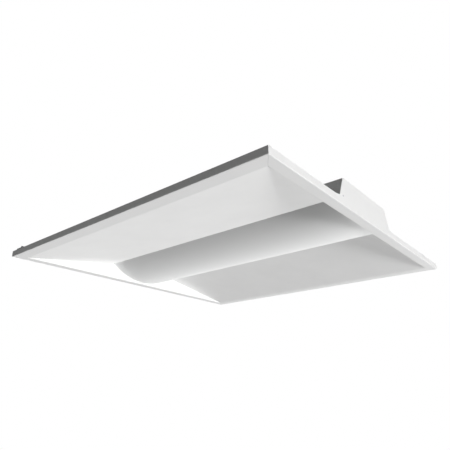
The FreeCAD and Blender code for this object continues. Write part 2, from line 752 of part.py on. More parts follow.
def driver_screw_places():
    reach = DRIVER_LENGTH / 2 + DRIVER_EAR / 2
    return [Vector(DRIVER_X + side * reach, DRIVER_Y, TRAY_TOP) for side in (1, -1)]


def block_screw_places():
    reach = (BLOCK_WIDTH - BLOCK_LUG) / 2
    return [Vector(BLOCK_X, BLOCK_Y + side * reach, TRAY_TOP) for side in (1, -1)]


def gear_screw_places():
    return driver_screw_places() + block_screw_places()


def driver_case():
    """Folded metal case with an ear at each end and a pocket for each terminal."""
    case = block(
        (DRIVER_X - DRIVER_LENGTH / 2, DRIVER_X + DRIVER_LENGTH / 2),
        (DRIVER_Y - DRIVER_WIDTH / 2, DRIVER_Y + DRIVER_WIDTH / 2),
        (TRAY_TOP, TRAY_TOP + DRIVER_HEIGHT),
    )
    top_edges = [
        e for e in case.Edges if e.Length > DRIVER_LENGTH - 1 and e.CenterOfMass.z > TRAY_TOP + DRIVER_FOLD
    ]
    case = case.makeFillet(DRIVER_FOLD, top_edges)
    reach = DRIVER_LENGTH / 2 + DRIVER_EAR
    half_ear = DRIVER_WIDTH / 2 - DRIVER_EAR_INSET
    ears = block(
        (DRIVER_X - reach, DRIVER_X + reach),
        (DRIVER_Y - half_ear, DRIVER_Y + half_ear),
        (TRAY_TOP, TRAY_TOP + DRIVER_EAR_THICK),
    )
    pockets = [driver_terminal_body(side, TERMINAL_FIT) for side in (1, -1)]
    holes = [small_hole(place) for place in driver_screw_places()]
    return case.fuse(ears).cut(pockets + holes).removeSplitter()


def driver_terminal_body(side, fit=0.0):
    """Body of the terminal in one end of the driver, or its pocket, which is larger by the fit."""
    ends = sorted(
        (DRIVER_X + side * DRIVER_LENGTH / 2, DRIVER_X + side * (DRIVER_LENGTH / 2 - TERMINAL_LENGTH))
    )
    low = TRAY_TOP + TERMINAL_LIFT
    return block(
        ends,
        (DRIVER_Y - TERMINAL_WIDTH / 2 - fit, DRIVER_Y + TERMINAL_WIDTH / 2 + fit),
        (low, low + TERMINAL_HEIGHT + fit),
    )


def wire_port(face, side, y, z):
    """Square pocket in a face that looks along X, towards +X or -X as its side says."""
    half = WIRE_PORT / 2
    depth = sorted((face, face - side * PORT_DEPTH))
    return block(depth, (y - half, y + half), (z - half, z + half))


def driver_terminal(side, ports):
    """Push-in terminal that fills a pocket of the driver's case."""
    face = DRIVER_X + side * DRIVER_LENGTH / 2
    height = TRAY_TOP + TERMINAL_LIFT + PORT_HEIGHT
    holes = [wire_port(face, side, DRIVER_Y + y, height) for y in even_places(ports, TERMINAL_WIDTH)]
    return driver_terminal_body(side).cut(holes)


def terminal_block():
    """Three-way supply block with push-in ports on both faces and a fixing hole at each end."""
    half_body = BLOCK_WIDTH / 2 - BLOCK_LUG
    body = block(
        (BLOCK_X - BLOCK_LENGTH / 2, BLOCK_X + BLOCK_LENGTH / 2),
        (BLOCK_Y - half_body, BLOCK_Y + half_body),
        (TRAY_TOP, TRAY_TOP + BLOCK_HEIGHT),
    )
    foot = block(
        (BLOCK_X - BLOCK_LUG_LENGTH / 2, BLOCK_X + BLOCK_LUG_LENGTH / 2),
        (BLOCK_Y - BLOCK_WIDTH / 2, BLOCK_Y + BLOCK_WIDTH / 2),
        (TRAY_TOP, TRAY_TOP + BLOCK_FOOT),
    )
    height = TRAY_TOP + BLOCK_PORT_HEIGHT
    ports = [
        wire_port(BLOCK_X + side * BLOCK_LENGTH / 2, side, BLOCK_Y + y, height)
        for side in (1, -1)
        for y in even_places(3, 2 * half_body)
    ]
    holes = [small_hole(place) for place in block_screw_places()]
    return body.fuse(foot).cut(ports + holes)


def wire_grommet():
    """Rubber ring through the tray, with a lip on each side."""
    base = Vector(GROMMET_X, GROMMET_Y, TRAY_Z - GROMMET_LIP_THICK)
    height = SHEET + 2 * GROMMET_LIP_THICK
    ring = rod(GROMMET_HOLE + GROMMET_LIP, base, Z_AXIS, height)
    groove = rod(GROMMET_HOLE + GROMMET_LIP, Vector(GROMMET_X, GROMMET_Y, TRAY_Z), Z_AXIS, SHEET)
    groove = groove.cut(rod(GROMMET_HOLE - SEAM, Vector(GROMMET_X, GROMMET_Y, TRAY_Z), Z_AXIS, SHEET))
    return ring.cut([groove, rod(GROMMET_BORE, base, Z_AXIS, height)])


# ---------------------------------------------------------------- lens and its fittings


def lens():
    """Curved diffuser with an upright rib along each long edge, notched round the pivots."""
    inner_radius = LENS_RADIUS - LENS_WALL
    inner_half = LENS_HALF - LENS_WALL
    place = in_yz(-LENS_END)
    outer_z = lens_z(LENS_HALF)
    inner_z = lens_z(inner_half, inner_radius)
    outer = Part.Arc(place(-LENS_HALF, outer_z), place(0, LENS_BOTTOM), place(LENS_HALF, outer_z))
    inner = Part.Arc(
        place(-inner_half, inner_z), place(0, LENS_BOTTOM + LENS_WALL), place(inner_half, inner_z)
    )
    edges = [outer.toShape(), inner.toShape()]
    for side in (1, -1):
        corners = [
            (LENS_HALF, outer_z),
            (LENS_HALF, LENS_RIB_TOP),
            (inner_half, LENS_RIB_TOP),
            (inner_half, inner_z),
        ]
        for a, b in zip(corners, corners[1:]):
            edges.append(Part.LineSegment(place(side * a[0], a[1]), place(side * b[0], b[1])).toShape())
    section = Part.Face(Part.Wire(Part.__sortEdges__(edges)))
    shell = section.extrude(Vector(2 * LENS_END, 0, 0))
    start = LENS_END - PIVOT_LENGTH - CLEAR
    round_boss = rod(PIVOT_BOSS + CAP_FIT, Vector(start, PIVOT_Y, PIVOT_Z), X_AXIS, PIVOT_LENGTH * 2)
    above = block(
        (start, LENS_END),
        (PIVOT_Y - PIVOT_BOSS - CAP_FIT, PIVOT_Y + PIVOT_BOSS + CAP_FIT),
        (PIVOT_Z, LENS_RIB_TOP),
    )
    notch = round_boss.fuse(above)
    return shell.cut([notch, flipped(notch, X_AXIS)])


def lens_end_cap():
    """Moulded cap inside the lens's +X end, with a pivot boss and, opposite, a catch arm."""
    radius = LENS_RADIUS - LENS_WALL - CAP_FIT
    half = LENS_HALF - LENS_WALL - CAP_FIT
    low = lens_z(half, radius)
    place = in_yz(CAP_FACE - CAP_WALL)
    arc = Part.Arc(place(-half, low), place(0, LENS_CENTRE - radius), place(half, low))
    corners = [(-half, low), (-half, LENS_RIB_TOP), (half, LENS_RIB_TOP), (half, low)]
    edges = [arc.toShape()]
    for a, b in zip(corners, corners[1:]):
        edges.append(Part.LineSegment(place(*a), place(*b)).toShape())
    plate = Part.Face(Part.Wire(Part.__sortEdges__(edges))).extrude(Vector(CAP_WALL, 0, 0))
    boss_start = LENS_END - PIVOT_LENGTH
    boss = rod(PIVOT_BOSS, Vector(boss_start, PIVOT_Y, PIVOT_Z), X_AXIS, PIVOT_LENGTH)
    arm = block(
        (CAP_FACE - CAP_WALL - CATCH_REACH, CAP_FACE - CAP_WALL),
        (CATCH_Y - CATCH_ARM / 2, CATCH_Y + CATCH_ARM / 2),
        (CATCH_ARM_TOP - CATCH_ARM_THICK, CATCH_ARM_TOP),
    )
    blade_x = CAP_FACE - CAP_WALL - CATCH_REACH
    blade = block(
        (blade_x, blade_x + CATCH_LENGTH),
        (CATCH_Y - CATCH_BLADE / 2, CATCH_Y + CATCH_BLADE / 2),
        (CATCH_ARM_TOP - CATCH_ARM_THICK, CATCH_BULB_Z),
    )
    bulb = rod(CATCH_BULB, Vector(blade_x, CATCH_Y, CATCH_BULB_Z), X_AXIS, CATCH_LENGTH)
    bore = rod(PIVOT_RADIUS + PRESS_GAP, Vector(boss_start, PIVOT_Y, PIVOT_Z), X_AXIS, PIVOT_LENGTH)
    return plate.fuse([boss, arm, blade, bulb]).cut(bore).removeSplitter()


def lens_hinge_pin():
    start = LENS_END - PIVOT_LENGTH
    return rod(PIVOT_RADIUS, Vector(start, PIVOT_Y, PIVOT_Z), X_AXIS, END_BACK - start)


def catch_clip():
    """Spring clip under the tray at the +X end: a base with two legs about the catch blade."""
    start = CAP_FACE - CAP_WALL - CATCH_REACH
    leg = CATCH_BULB + CLEAR
    top = TRAY_Z - CATCH_SHEET
    tip = CATCH_BULB_Z - CATCH_LEG_DROP
    line = [
        (CATCH_Y - leg - CATCH_FLARE, tip - CATCH_FLARE),
        (CATCH_Y - leg, tip),
        (CATCH_Y - leg, top),
        (CATCH_Y + leg, top),
        (CATCH_Y + leg, tip),
        (CATCH_Y + leg + CATCH_FLARE, tip - CATCH_FLARE),
    ]
    legs = folded_x(line, start, start + CATCH_LENGTH, CATCH_SHEET, BEND)
    base = block(
        (start - CATCH_BASE, start + CATCH_LENGTH),
        (CATCH_Y - leg - CATCH_SHEET, CATCH_Y + leg + CATCH_SHEET),
        (top, TRAY_Z),
    )
    return legs.fuse(base).removeSplitter()


# ---------------------------------------------------------------- the assembly


def make_parts():
    wing = side_wing()
    save("side_wing_b", wing)
    save("side_wing_a", turned(wing))

    end = end_plate()
    save("end_plate_a", end)
    save("end_plate_b", flipped(end, X_AXIS))

    gusset = corner_gusset()
    corners = [gusset, flipped(gusset, X_AXIS), turned(gusset), flipped(gusset, Y_AXIS)]
    for number, corner in enumerate(corners, 1):
        save(f"corner_gusset_{number}", corner)

    clip = grid_clip()
    save("grid_clip_b", clip)
    save("grid_clip_a", turned(clip))
    post = clip_post()
    save_group("clip_posts", [post, turned(post)])

    save("spine_housing", spine_housing())
    save("access_cover", access_cover())
    save("cover_hinge_leaf_a", hinge_leaf(-COVER_HINGE_X))
    save("cover_hinge_leaf_b", hinge_leaf(COVER_HINGE_X))
    save_group("cover_hinge_pins", [cover_hinge_pin(x) for x in (-COVER_HINGE_X, COVER_HINGE_X)])
    save_group("cover_screws", [placed(washer_head_screw(), place) for place in cover_screw_places()])

    save("gear_tray", gear_tray())
    save_group("tray_screws", [placed(washer_head_screw(), base, way) for base, way in tray_screw_places()])
    for name, side in (("a", -1), ("b", 1)):
        save(f"led_board_{name}", led_board(side))
        save_group(f"led_chips_{name}", led_chips(side))
    connector = board_connector()
    save("board_connector_a", flipped(connector, Y_AXIS))
    save("board_connector_b", connector)
    board_screw = small_screw(BOARD_THICK + SHEET)
    save_group("board_screws", [placed(board_screw, p, Z_AXIS * -1) for p in board_screw_places()])

    save("driver_case", driver_case())
    save("driver_input_terminal", driver_terminal(-1, 3))
    save("driver_output_terminal", driver_terminal(1, 4))
    save("terminal_block", terminal_block())
    save_group("gear_screws", gear_screws())
    save("ground_screw", placed(washer_head_screw(), Vector(GROUND_X, GROUND_Y, TRAY_TOP)))
    save("wire_grommet", wire_grommet())

    save("lens", lens())
    cap = lens_end_cap()
    save("lens_end_cap_a", cap)
    save("lens_end_cap_b", flipped(cap, X_AXIS))
    pin = lens_hinge_pin()
    save_group("lens_hinge_pins", [pin, flipped(pin, X_AXIS)])
    catch = catch_clip()
    save("lens_catch_a", catch)
    save("lens_catch_b", flipped(catch, X_AXIS))


def gear_screws():
    """Screws of the driver's ears and the supply block's lugs."""
    groups = ((driver_screw_places(), DRIVER_EAR_THICK), (block_screw_places(), BLOCK_FOOT))
    return [
        placed(small_screw(thick + SHEET), place + Z_AXIS * thick)
        for places, thick in groups
        for place in places
    ]


os.makedirs("parts", exist_ok=True)
make_parts()
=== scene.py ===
import math

import bmesh
import bpy
import numpy as np
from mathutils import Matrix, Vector


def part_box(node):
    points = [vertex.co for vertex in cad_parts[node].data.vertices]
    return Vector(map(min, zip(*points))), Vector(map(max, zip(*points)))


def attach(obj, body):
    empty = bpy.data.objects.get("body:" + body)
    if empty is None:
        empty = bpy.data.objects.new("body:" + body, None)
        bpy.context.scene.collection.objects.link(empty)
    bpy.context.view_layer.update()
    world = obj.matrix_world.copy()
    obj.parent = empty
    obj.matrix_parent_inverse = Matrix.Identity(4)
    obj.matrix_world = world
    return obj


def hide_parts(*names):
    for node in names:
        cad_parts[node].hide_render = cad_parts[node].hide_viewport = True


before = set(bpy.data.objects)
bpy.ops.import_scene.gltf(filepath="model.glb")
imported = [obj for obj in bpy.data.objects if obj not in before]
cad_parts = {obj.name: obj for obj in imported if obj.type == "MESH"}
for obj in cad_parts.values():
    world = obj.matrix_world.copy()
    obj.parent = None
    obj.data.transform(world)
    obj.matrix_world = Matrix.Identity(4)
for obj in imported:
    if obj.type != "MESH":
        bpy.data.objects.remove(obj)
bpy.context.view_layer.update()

# ---------------------------------------------------------------- reflector wings and end plates
# The two wings and the two end plates are folded from 0.8 mm steel, spot-welded into one
# body and coated in matte white powder. The coat has a faint orange peel and lies thinner
# on the folds. The faces that lie in the ceiling show the welds and gather a little dust.

MM = 0.001


class Tree:
    """Adds nodes to one node tree. An input is given as a value or as another node's output."""

    def __init__(self, tree):
        self.tree = tree

    def feed(self, socket, value):
        """Links another node's output to a socket, or sets a plain value on it."""
        if isinstance(value, bpy.types.NodeSocket):
            self.tree.links.new(value, socket)
        else:
            socket.default_value = value

    def add(self, kind, inputs=(), **settings):
        """A node with its settings and its inputs, each given by its label or its number."""
        node = self.tree.nodes.new(kind)
        for name, value in settings.items():
            setattr(node, name, value)
        for label, value in dict(inputs).items():
            self.feed(node.inputs[label], value)
        return node

    def math(self, operation, first, second=0.0):
        return self.add("ShaderNodeMath", {0: first, 1: second}, operation=operation).outputs[0]

    def spread(self, value, low, high, to_low=0.0, to_high=1.0):
        """A value's range from low to high carried over to another range, and held at its ends."""
        node = self.add("ShaderNodeMapRange", {"Value": value, "From Min": low, "From Max": high})
        self.feed(node.inputs["To Min"], to_low)
        self.feed(node.inputs["To Max"], to_high)
        return node.outputs["Result"]

    def blend(self, amount, first, second):
        """One colour mixed into another."""
        node = self.add("ShaderNodeMix", data_type="RGBA")
        for index, value in ((0, amount), (6, first), (7, second)):
            self.feed(node.inputs[index], (*value, 1) if isinstance(value, tuple) else value)
        return node.outputs[2]

    def axes(self, kind="Object"):
        """The X, Y and Z of a texture coordinate, by name."""
        coords = self.add("ShaderNodeTexCoord").outputs[kind]
        return self.add("ShaderNodeSeparateXYZ", {"Vector": coords}).outputs

    def places(self, stretch=(1, 1, 1)):
        """Object coordinates, drawn out along each axis where its stretch is under 1."""
        coords = self.add("ShaderNodeTexCoord").outputs["Object"]
        node = self.add("ShaderNodeVectorMath", {0: coords, 1: stretch}, operation="MULTIPLY")
        return node.outputs[0]

    def noise(self, scale, detail=2.0, roughness=0.5, stretch=(1, 1, 1)):
        """Noise from 0 to 1, with its scale in waves to the metre."""
        values = {"Scale": scale, "Detail": detail, "Roughness": roughness}
        values["Vector"] = self.places(stretch)
        return self.add("ShaderNodeTexNoise", values).outputs["Fac"]


def new_group(name, inputs, output):
    """A node group with float inputs, given as label: value, and one float output."""
    group = bpy.data.node_groups.new(name, "ShaderNodeTree")
    kind = "NodeSocketFloat"
    for label, value in inputs.items():
        socket = group.interface.new_socket(label, in_out="INPUT", socket_type=kind)
        socket.default_value = value
    group.interface.new_socket(output, in_out="OUTPUT", socket_type=kind)
    tree = Tree(group)
    given = tree.add("NodeGroupInput").outputs
    made = tree.add("NodeGroupOutput").inputs[output]
    return group, tree, given, made


def edge_rub_group():
    """Mask of convex edges: how far the rounded normal turns from the true one, times noise.

    The dot product of the two normals starts the mask at a turn of 11 degrees and fills it
    at 41 degrees.
    """
    group, tree, given, made = new_group("edge_rub", {"Radius": 0.5 * MM, "Breakup": 220.0}, "Mask")
    rounded = tree.add("ShaderNodeBevel", {"Radius": given["Radius"]}, samples=4).outputs["Normal"]
    true = tree.add("ShaderNodeNewGeometry").outputs["Normal"]
    turn = tree.add("ShaderNodeVectorMath", {0: rounded, 1: true}, operation="DOT_PRODUCT")
    sharp = tree.spread(turn.outputs["Value"], 0.98, 0.75)
    broken = tree.spread(tree.noise(given["Breakup"], 3.0), 0.35, 0.65)
    tree.feed(made, tree.math("MULTIPLY", sharp, broken))
    return group


def fine_grain_group():
    """Height of a finish's grain, from 0 to 1: the product of small soft bumps and wider ones."""
    group, tree, given, made = new_group("fine_grain", {"Scale": 900.0}, "Height")
    small = tree.noise(given["Scale"], 2.0, 0.4)
    wide = tree.noise(tree.math("MULTIPLY", given["Scale"], 0.31), 1.0)
    tree.feed(made, tree.math("MULTIPLY", small, wide))
    return group


def slow_patch_group():
    """Slow unevenness of a surface, from 0 to 1, such as handling marks and an uneven coat."""
    group, tree, given, made = new_group("slow_patches", {"Scale": 12.0}, "Amount")
    tree.feed(made, tree.spread(tree.noise(given["Scale"], 4.0, 0.6), 0.28, 0.72))
    return group


def settled_dust_group():
    """Mask of dust: the upward part of the piece's own normal, squared, times clouds and specks."""
    group, tree, given, made = new_group("settled_dust", {"Amount": 0.5}, "Mask")
    up = tree.axes("Normal")["Z"]
    lying = tree.math("POWER", tree.math("MAXIMUM", up, 0.0), 2.0)
    clouds = tree.spread(tree.noise(38.0, 6.0, 0.65), 0.3, 0.75)
    specks = tree.spread(tree.noise(1400.0, 1.0), 0.62, 0.72, 0.0, 0.8)
    cover = tree.math("MULTIPLY", lying, tree.math("MAXIMUM", clouds, specks))
    tree.feed(made, tree.math("MULTIPLY", cover, given["Amount"]))
    return group


def weld_dimple_group():
    """Round spot welds on upward faces: a row beside the X axis and one beside the Y axis.

    Along a row, the distance to the nearest weld is a triangle wave of the pitch. The mask is
    1 out to four fifths of a weld's radius and falls to 0 at the radius.
    """
    sizes = {"Row Y": 104 * MM, "Pitch X": 62 * MM, "Row X": 278.4 * MM, "Pitch Y": 43 * MM}
    sizes["Radius"] = 2.4 * MM
    group, tree, given, made = new_group("weld_dimples", sizes, "Mask")
    place = tree.axes()
    up = tree.axes("Normal")["Z"]
    rows = []
    for along, across in (("X", "Y"), ("Y", "X")):
        half_pitch = tree.math("MULTIPLY", given[f"Pitch {along}"], 0.5)
        off = tree.math("PINGPONG", place[along], half_pitch)
        side = tree.math("SUBTRACT", tree.math("ABSOLUTE", place[across]), given[f"Row {across}"])
        squares = tree.math("ADD", tree.math("POWER", off, 2.0), tree.math("POWER", side, 2.0))
        share = tree.math("DIVIDE", tree.math("SQRT", squares), given["Radius"])
        rows.append(tree.spread(share, 1.0, 0.8))
    marks = tree.math("MAXIMUM", rows[0], rows[1])
    tree.feed(made, tree.math("MULTIPLY", marks, tree.spread(up, 0.2, 0.5)))
    return group


GROUPS = {
    "edge_rub": edge_rub_group(),
    "fine_grain": fine_grain_group(),
    "slow_patches": slow_patch_group(),
    "settled_dust": settled_dust_group(),
    "weld_dimples": weld_dimple_group(),
}
DUST_COLOR, DUST_DULLS = (0.56, 0.54, 0.50), 0.4


def group_in(tree, name, **values):
    """Places one of the effect groups and gives its output."""
    inputs = {label.replace("_", " "): value for label, value in values.items()}
    return tree.add("ShaderNodeGroup", inputs, node_tree=GROUPS[name]).outputs[0]


def finish(name, color, rub_color, rough, swing=0.05, tint=0.04, metallic=0.0, grain=900.0,
           depth=0.02, patches=14.0, rub=0.3, radius=0.5, dust=0.0, relief=None, pattern=None,
           **shader_values):
    """A finish with grain and relief as bump, uneven gloss and tint, rubbed edges and dust.

    rough is the mean roughness and swing its unevenness, tint the share by which patches darken
    the colour, depth the grain's height and radius the rub's width in millimetres. relief gives a
    height in metres and pattern a new colour, each from the tree.
    """
    material = bpy.data.materials.new(name)
    material.use_nodes = True
    tree = Tree(material.node_tree)
    shader = tree.tree.nodes["Principled BSDF"]
    patch = group_in(tree, "slow_patches", Scale=patches)
    worn = tree.math("MULTIPLY", group_in(tree, "edge_rub", Radius=radius * MM), rub)
    shade = tree.blend(patch, tuple(c * (1 - tint) for c in color), color)
    if pattern:
        shade = pattern(tree, shade)
    shade = tree.blend(worn, shade, rub_color)
    gloss = tree.spread(patch, 0.0, 1.0, rough - swing, rough + swing)
    if dust:
        cover = group_in(tree, "settled_dust", Amount=dust)
        shade = tree.blend(cover, shade, DUST_COLOR)
        gloss = tree.math("ADD", gloss, tree.math("MULTIPLY", cover, DUST_DULLS))
    height = tree.math("MULTIPLY", group_in(tree, "fine_grain", Scale=grain), depth * MM)
    if relief:
        height = tree.math("ADD", height, relief(tree))
    bump = tree.add("ShaderNodeBump", {"Height": height, "Distance": 1.0, "Strength": 1.0})
    values = {"Base Color": shade, "Roughness": gloss, "Normal": bump.outputs["Normal"]}
    for label, value in {**values, "Metallic": metallic, **shader_values}.items():
        tree.feed(shader.inputs[label.replace("_", " ")], value)
    return material


def dress(material, *nodes):
    """Gives CAD nodes' objects one material."""
    for node in nodes:
        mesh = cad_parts[node].data
        mesh.materials.clear()
        mesh.materials.append(material)


def weld_relief(tree):
    """Spot welds 0.12 mm deep, with the sheet's slow waviness of 0.05 mm."""
    welds = tree.math("MULTIPLY", group_in(tree, "weld_dimples"), -0.12 * MM)
    return tree.math("ADD", welds, tree.math("MULTIPLY", tree.noise(9.0, 1.0), 0.05 * MM))


powder_white = finish("powder_white", (0.90, 0.90, 0.895), (0.74, 0.74, 0.73), 0.62, grain=700.0,
                      depth=0.03, dust=0.14, relief=weld_relief, Specular_IOR_Level=0.1)
dress(powder_white, "side_wing_a", "side_wing_b", "end_plate_a", "end_plate_b")

# ---------------------------------------------------------------- corner gussets and clip posts
# Stamped steel angles inside the rim's corners, and turned posts for the grid clips, in
# bright zinc. The plating shows small crystals, a dull bloom in patches, and spot welds.

ZINC, RUBBED_ZINC = (0.42, 0.43, 0.45), (0.60, 0.60, 0.61)


def zinc_crystals(tree, shade):
    """Each cell of a crystal pattern, 1.2 mm wide, is a little lighter or darker than the next."""
    values = {"Vector": tree.places(), "Scale": 850.0}
    cells = tree.add("ShaderNodeTexVoronoi", values, feature="F1").outputs["Color"]
    light = tree.add("ShaderNodeSeparateColor", {"Color": cells}).outputs["Red"]
    return tree.blend(tree.spread(light, 0.0, 1.0, 0.0, 0.35), shade, (0.34, 0.35, 0.38))


zinc_plate = finish("zinc_plate", ZINC, RUBBED_ZINC, 0.48, swing=0.10, tint=0.16, metallic=1.0,
                    grain=2600.0, depth=0.008, patches=130.0, rub=0.5, dust=0.12,
                    relief=weld_relief, pattern=zinc_crystals)
dress(zinc_plate, "corner_gusset_1", "corner_gusset_2", "corner_gusset_3", "corner_gusset_4")


def turned_marks(tree):
    """Lathe lines: noise 0.006 mm high, 0.12 mm apart along Z and 3 mm long across it."""
    return tree.math("MULTIPLY", tree.noise(1.0, 1.0, 0.5, (300, 300, 8000)), 0.006 * MM)


turned_zinc = finish("turned_zinc", (0.54, 0.55, 0.57), (0.70, 0.70, 0.71), 0.30, swing=0.08,
                     tint=0.14, metallic=1.0, grain=2400.0, depth=0.006, patches=160.0, rub=0.4,
                     relief=turned_marks)


def on_rings(rows, sides):
    """The angle of each point of a closed ring, repeated for each row."""
    angle = np.arange(sides) * (2 * math.pi / sides)
    return np.broadcast_to(angle, (rows, sides))


def ring_points(profile, sides):
    """Rows of ring points: each (radius, height) of the profile carried round Z."""
    radius, height = np.array(profile, float).T[:, :, None]
    angle = on_rings(len(profile), sides)
    return np.stack([radius * np.cos(angle), radius * np.sin(angle), height + 0 * angle], -1) * MM


def quads_between(row, next_row, side, next_side, sides):
    """Quads between pairs of neighbouring rows, as numbers into points listed row by row."""
    starts, ends = row * sides, next_row * sides
    corners = [starts + side, starts + next_side, ends + next_side, ends + side]
    return np.stack(corners, -1).reshape(-1, 4).tolist()


def closed_rows(points):
    """A closed shell from rows of ring points: quads between rows, one flat face at each end.

    points has the shape rows, sides, 3. Faces that would have no area are left out when the
    doubles are merged.
    """
    rows, sides = points.shape[:2]
    row, side = np.meshgrid(np.arange(rows - 1), np.arange(sides), indexing="ij")
    quads = quads_between(row, row + 1, side, (side + 1) % sides, sides)
    ends = [list(range(sides))[::-1], list(range((rows - 1) * sides, rows * sides))]
    return points.reshape(-1, 3), quads + ends


def turned_shell(profile, sides=40):
    """A turned shape about Z, closed at both ends of its profile."""
    return closed_rows(ring_points(profile, sides))


def seated(shell, place, way=(0, 0, 1), turn=0.0):
    """A shell made about the origin, set at a place in millimetres.

    It is first turned about its own Z in degrees, then tipped until its Z runs along a way.
    """
    points, faces = shell
    tilt = Vector((0, 0, 1)).rotation_difference(Vector(way)).to_matrix()
    spin = math.radians(turn)
    across, along = math.sin(spin), math.cos(spin)
    about = np.array([[along, -across, 0], [across, along, 0], [0, 0, 1]])
    return points @ (np.array(tilt) @ about).T + np.array(place) * MM, faces


def together(shells):
    """One shell from several: the points stacked, each shell's faces counted on from the last."""
    points = []
    faces = []
    count = 0
    for part, its_faces in shells:
        faces += [[corner + count for corner in face] for face in its_faces]
        points.append(part)
        count += len(part)
    return np.concatenate(points), faces


def object_from(name, shell, sharp=32.0):
    """An object whose doubles are merged, whose faces point outwards, smooth below an angle."""
    points, faces = shell
    mesh = bpy.data.meshes.new(name)
    mesh.from_pydata(points.tolist(), [], faces)
    work = bmesh.new()
    work.from_mesh(mesh)
    bmesh.ops.remove_doubles(work, verts=work.verts, dist=0.0004 * MM)
    bmesh.ops.recalc_face_normals(work, faces=work.faces)
    work.to_mesh(mesh)
    work.free()
    mesh.shade_smooth()
    mesh.set_sharp_from_angle(angle=math.radians(sharp))
    piece = bpy.data.objects.new(name, mesh)
    bpy.context.scene.collection.objects.link(piece)
    return piece


def stand_for(piece, material, node, body):
    """Gives a piece its finish and puts it in the place of a CAD node, on that node's body."""
    piece.data.materials.append(material)
    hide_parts(node)
    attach(piece, body)


POST_X, POST_Y, POST_FOOT = 284.5, 296.95, 1.65
CLIP_UNDER = 11.3
COLLAR_TOP = CLIP_UNDER - 0.3
COLLAR_RADIUS, NECK_RADIUS = 2.6, 1.6
post_profile = [
    (0, POST_FOOT), (2.35, POST_FOOT), (COLLAR_RADIUS, 1.9), (COLLAR_RADIUS, CLIP_UNDER - 0.5),
    (2.4, COLLAR_TOP), (NECK_RADIUS, COLLAR_TOP), (NECK_RADIUS, CLIP_UNDER + 1.5),
    (2.3, CLIP_UNDER + 1.5), (COLLAR_RADIUS, CLIP_UNDER + 1.75), (COLLAR_RADIUS, CLIP_UNDER + 2.1),
    (2.2, CLIP_UNDER + 2.4), (1.2, CLIP_UNDER + 2.5), (0, CLIP_UNDER + 2.5),
]
post = turned_shell(post_profile)
posts = object_from("riveted_posts", together([
    seated(post, (side * POST_X, side * POST_Y, 0)) for side in (1, -1)
]))
stand_for(posts, turned_zinc, "clip_posts", "fixture")

# ---------------------------------------------------------------- spine housing and access cover
# An inverted trough of the same coated sheet, spot-welded to the wings by its feet. A flat
# cover on two rolled hinges closes its hatch. Both gather more dust than the rest.

powder_top = finish("powder_top", (0.88, 0.88, 0.875), (0.70, 0.70, 0.69), 0.57, grain=700.0,
                    depth=0.03, dust=0.2, relief=weld_relief, Specular_IOR_Level=0.2)
dress(powder_top, "spine_housing", "access_cover")

ROLLED_EDGE_Z = 67.4


def rolled_seam(tree):
    """The slit where a knuckle's rolled edge meets its leaf: a groove 0.2 mm deep at one height."""
    off = tree.math("ABSOLUTE", tree.math("SUBTRACT", tree.axes()["Z"], ROLLED_EDGE_Z * MM))
    groove = tree.math("MULTIPLY", tree.spread(off, 0.22 * MM, 0.10 * MM), -0.2 * MM)
    return tree.math("ADD", groove, weld_relief(tree))


hinge_zinc = finish("hinge_zinc", ZINC, RUBBED_ZINC, 0.48, swing=0.10, tint=0.18, metallic=1.0,
                    grain=2600.0, depth=0.008, patches=110.0, rub=0.6, dust=0.12,
                    relief=rolled_seam, pattern=zinc_crystals)
dress(hinge_zinc, "cover_hinge_leaf_a", "cover_hinge_leaf_b")

HINGE_X, HINGE_Y, HINGE_Z = 95, -59.0, 68.7
KNUCKLE, KNUCKLE_GAP, PIN_RADIUS = 14.0, 0.4, 1.5
pin_half = (3 * KNUCKLE + 2 * KNUCKLE_GAP) / 2
hinge_pin = turned_shell([
    (0, -pin_half), (1.1, -pin_half), (PIN_RADIUS, -pin_half + 0.4),
    (PIN_RADIUS, pin_half - 0.4), (1.1, pin_half), (0, pin_half),
])
hinge_pins = object_from("cover_pins", together([
    seated(hinge_pin, (x, HINGE_Y, HINGE_Z), (1, 0, 0)) for x in (-HINGE_X, HINGE_X)
]))
stand_for(hinge_pins, turned_zinc, "cover_hinge_pins", "fixture")

# ---------------------------------------------------------------- gear tray
# A shallow pan screwed between the spine's walls, in a flatter white than the body; its underside
# throws the light back into the lens. Its white is a little darker than the body's, as painted
# shade on the lit tray.

TRAY_UNDER, TRAY_TOP = 40.0, 40.8
# painted shade: a darker copy of the body's white, so that the brightly lit tray is held back
tray_shaded_white = finish("tray_shaded_white", (0.86, 0.86, 0.86), (0.74, 0.74, 0.74), 0.66, grain=800.0,
                    depth=0.02, dust=0.1, Specular_IOR_Level=0.2)
dress(tray_shaded_white, "gear_tray")

# ---------------------------------------------------------------- hexagon screws
# Self-tapping screws with a slotted hexagon head on a fixed washer, cut threads and a
# pointed end, in zinc. The green one bonds the supply's ground lead to the tray.

SCREW_REACH, THREAD_ROOT, THREAD_HIGH, THREAD_PITCH = 6.0, 1.55, 0.45, 1.4
HEX_CORNER, WASHER_RADIUS, WASHER_HIGH, HEAD_TOP = 3.6, 4.6, 0.8, 3.0
PAST_HEX = 9    # a radius outside the hexagon, which trims it to its flats
SLOT_HALF, SLOT_FLOOR = 0.45, 1.9


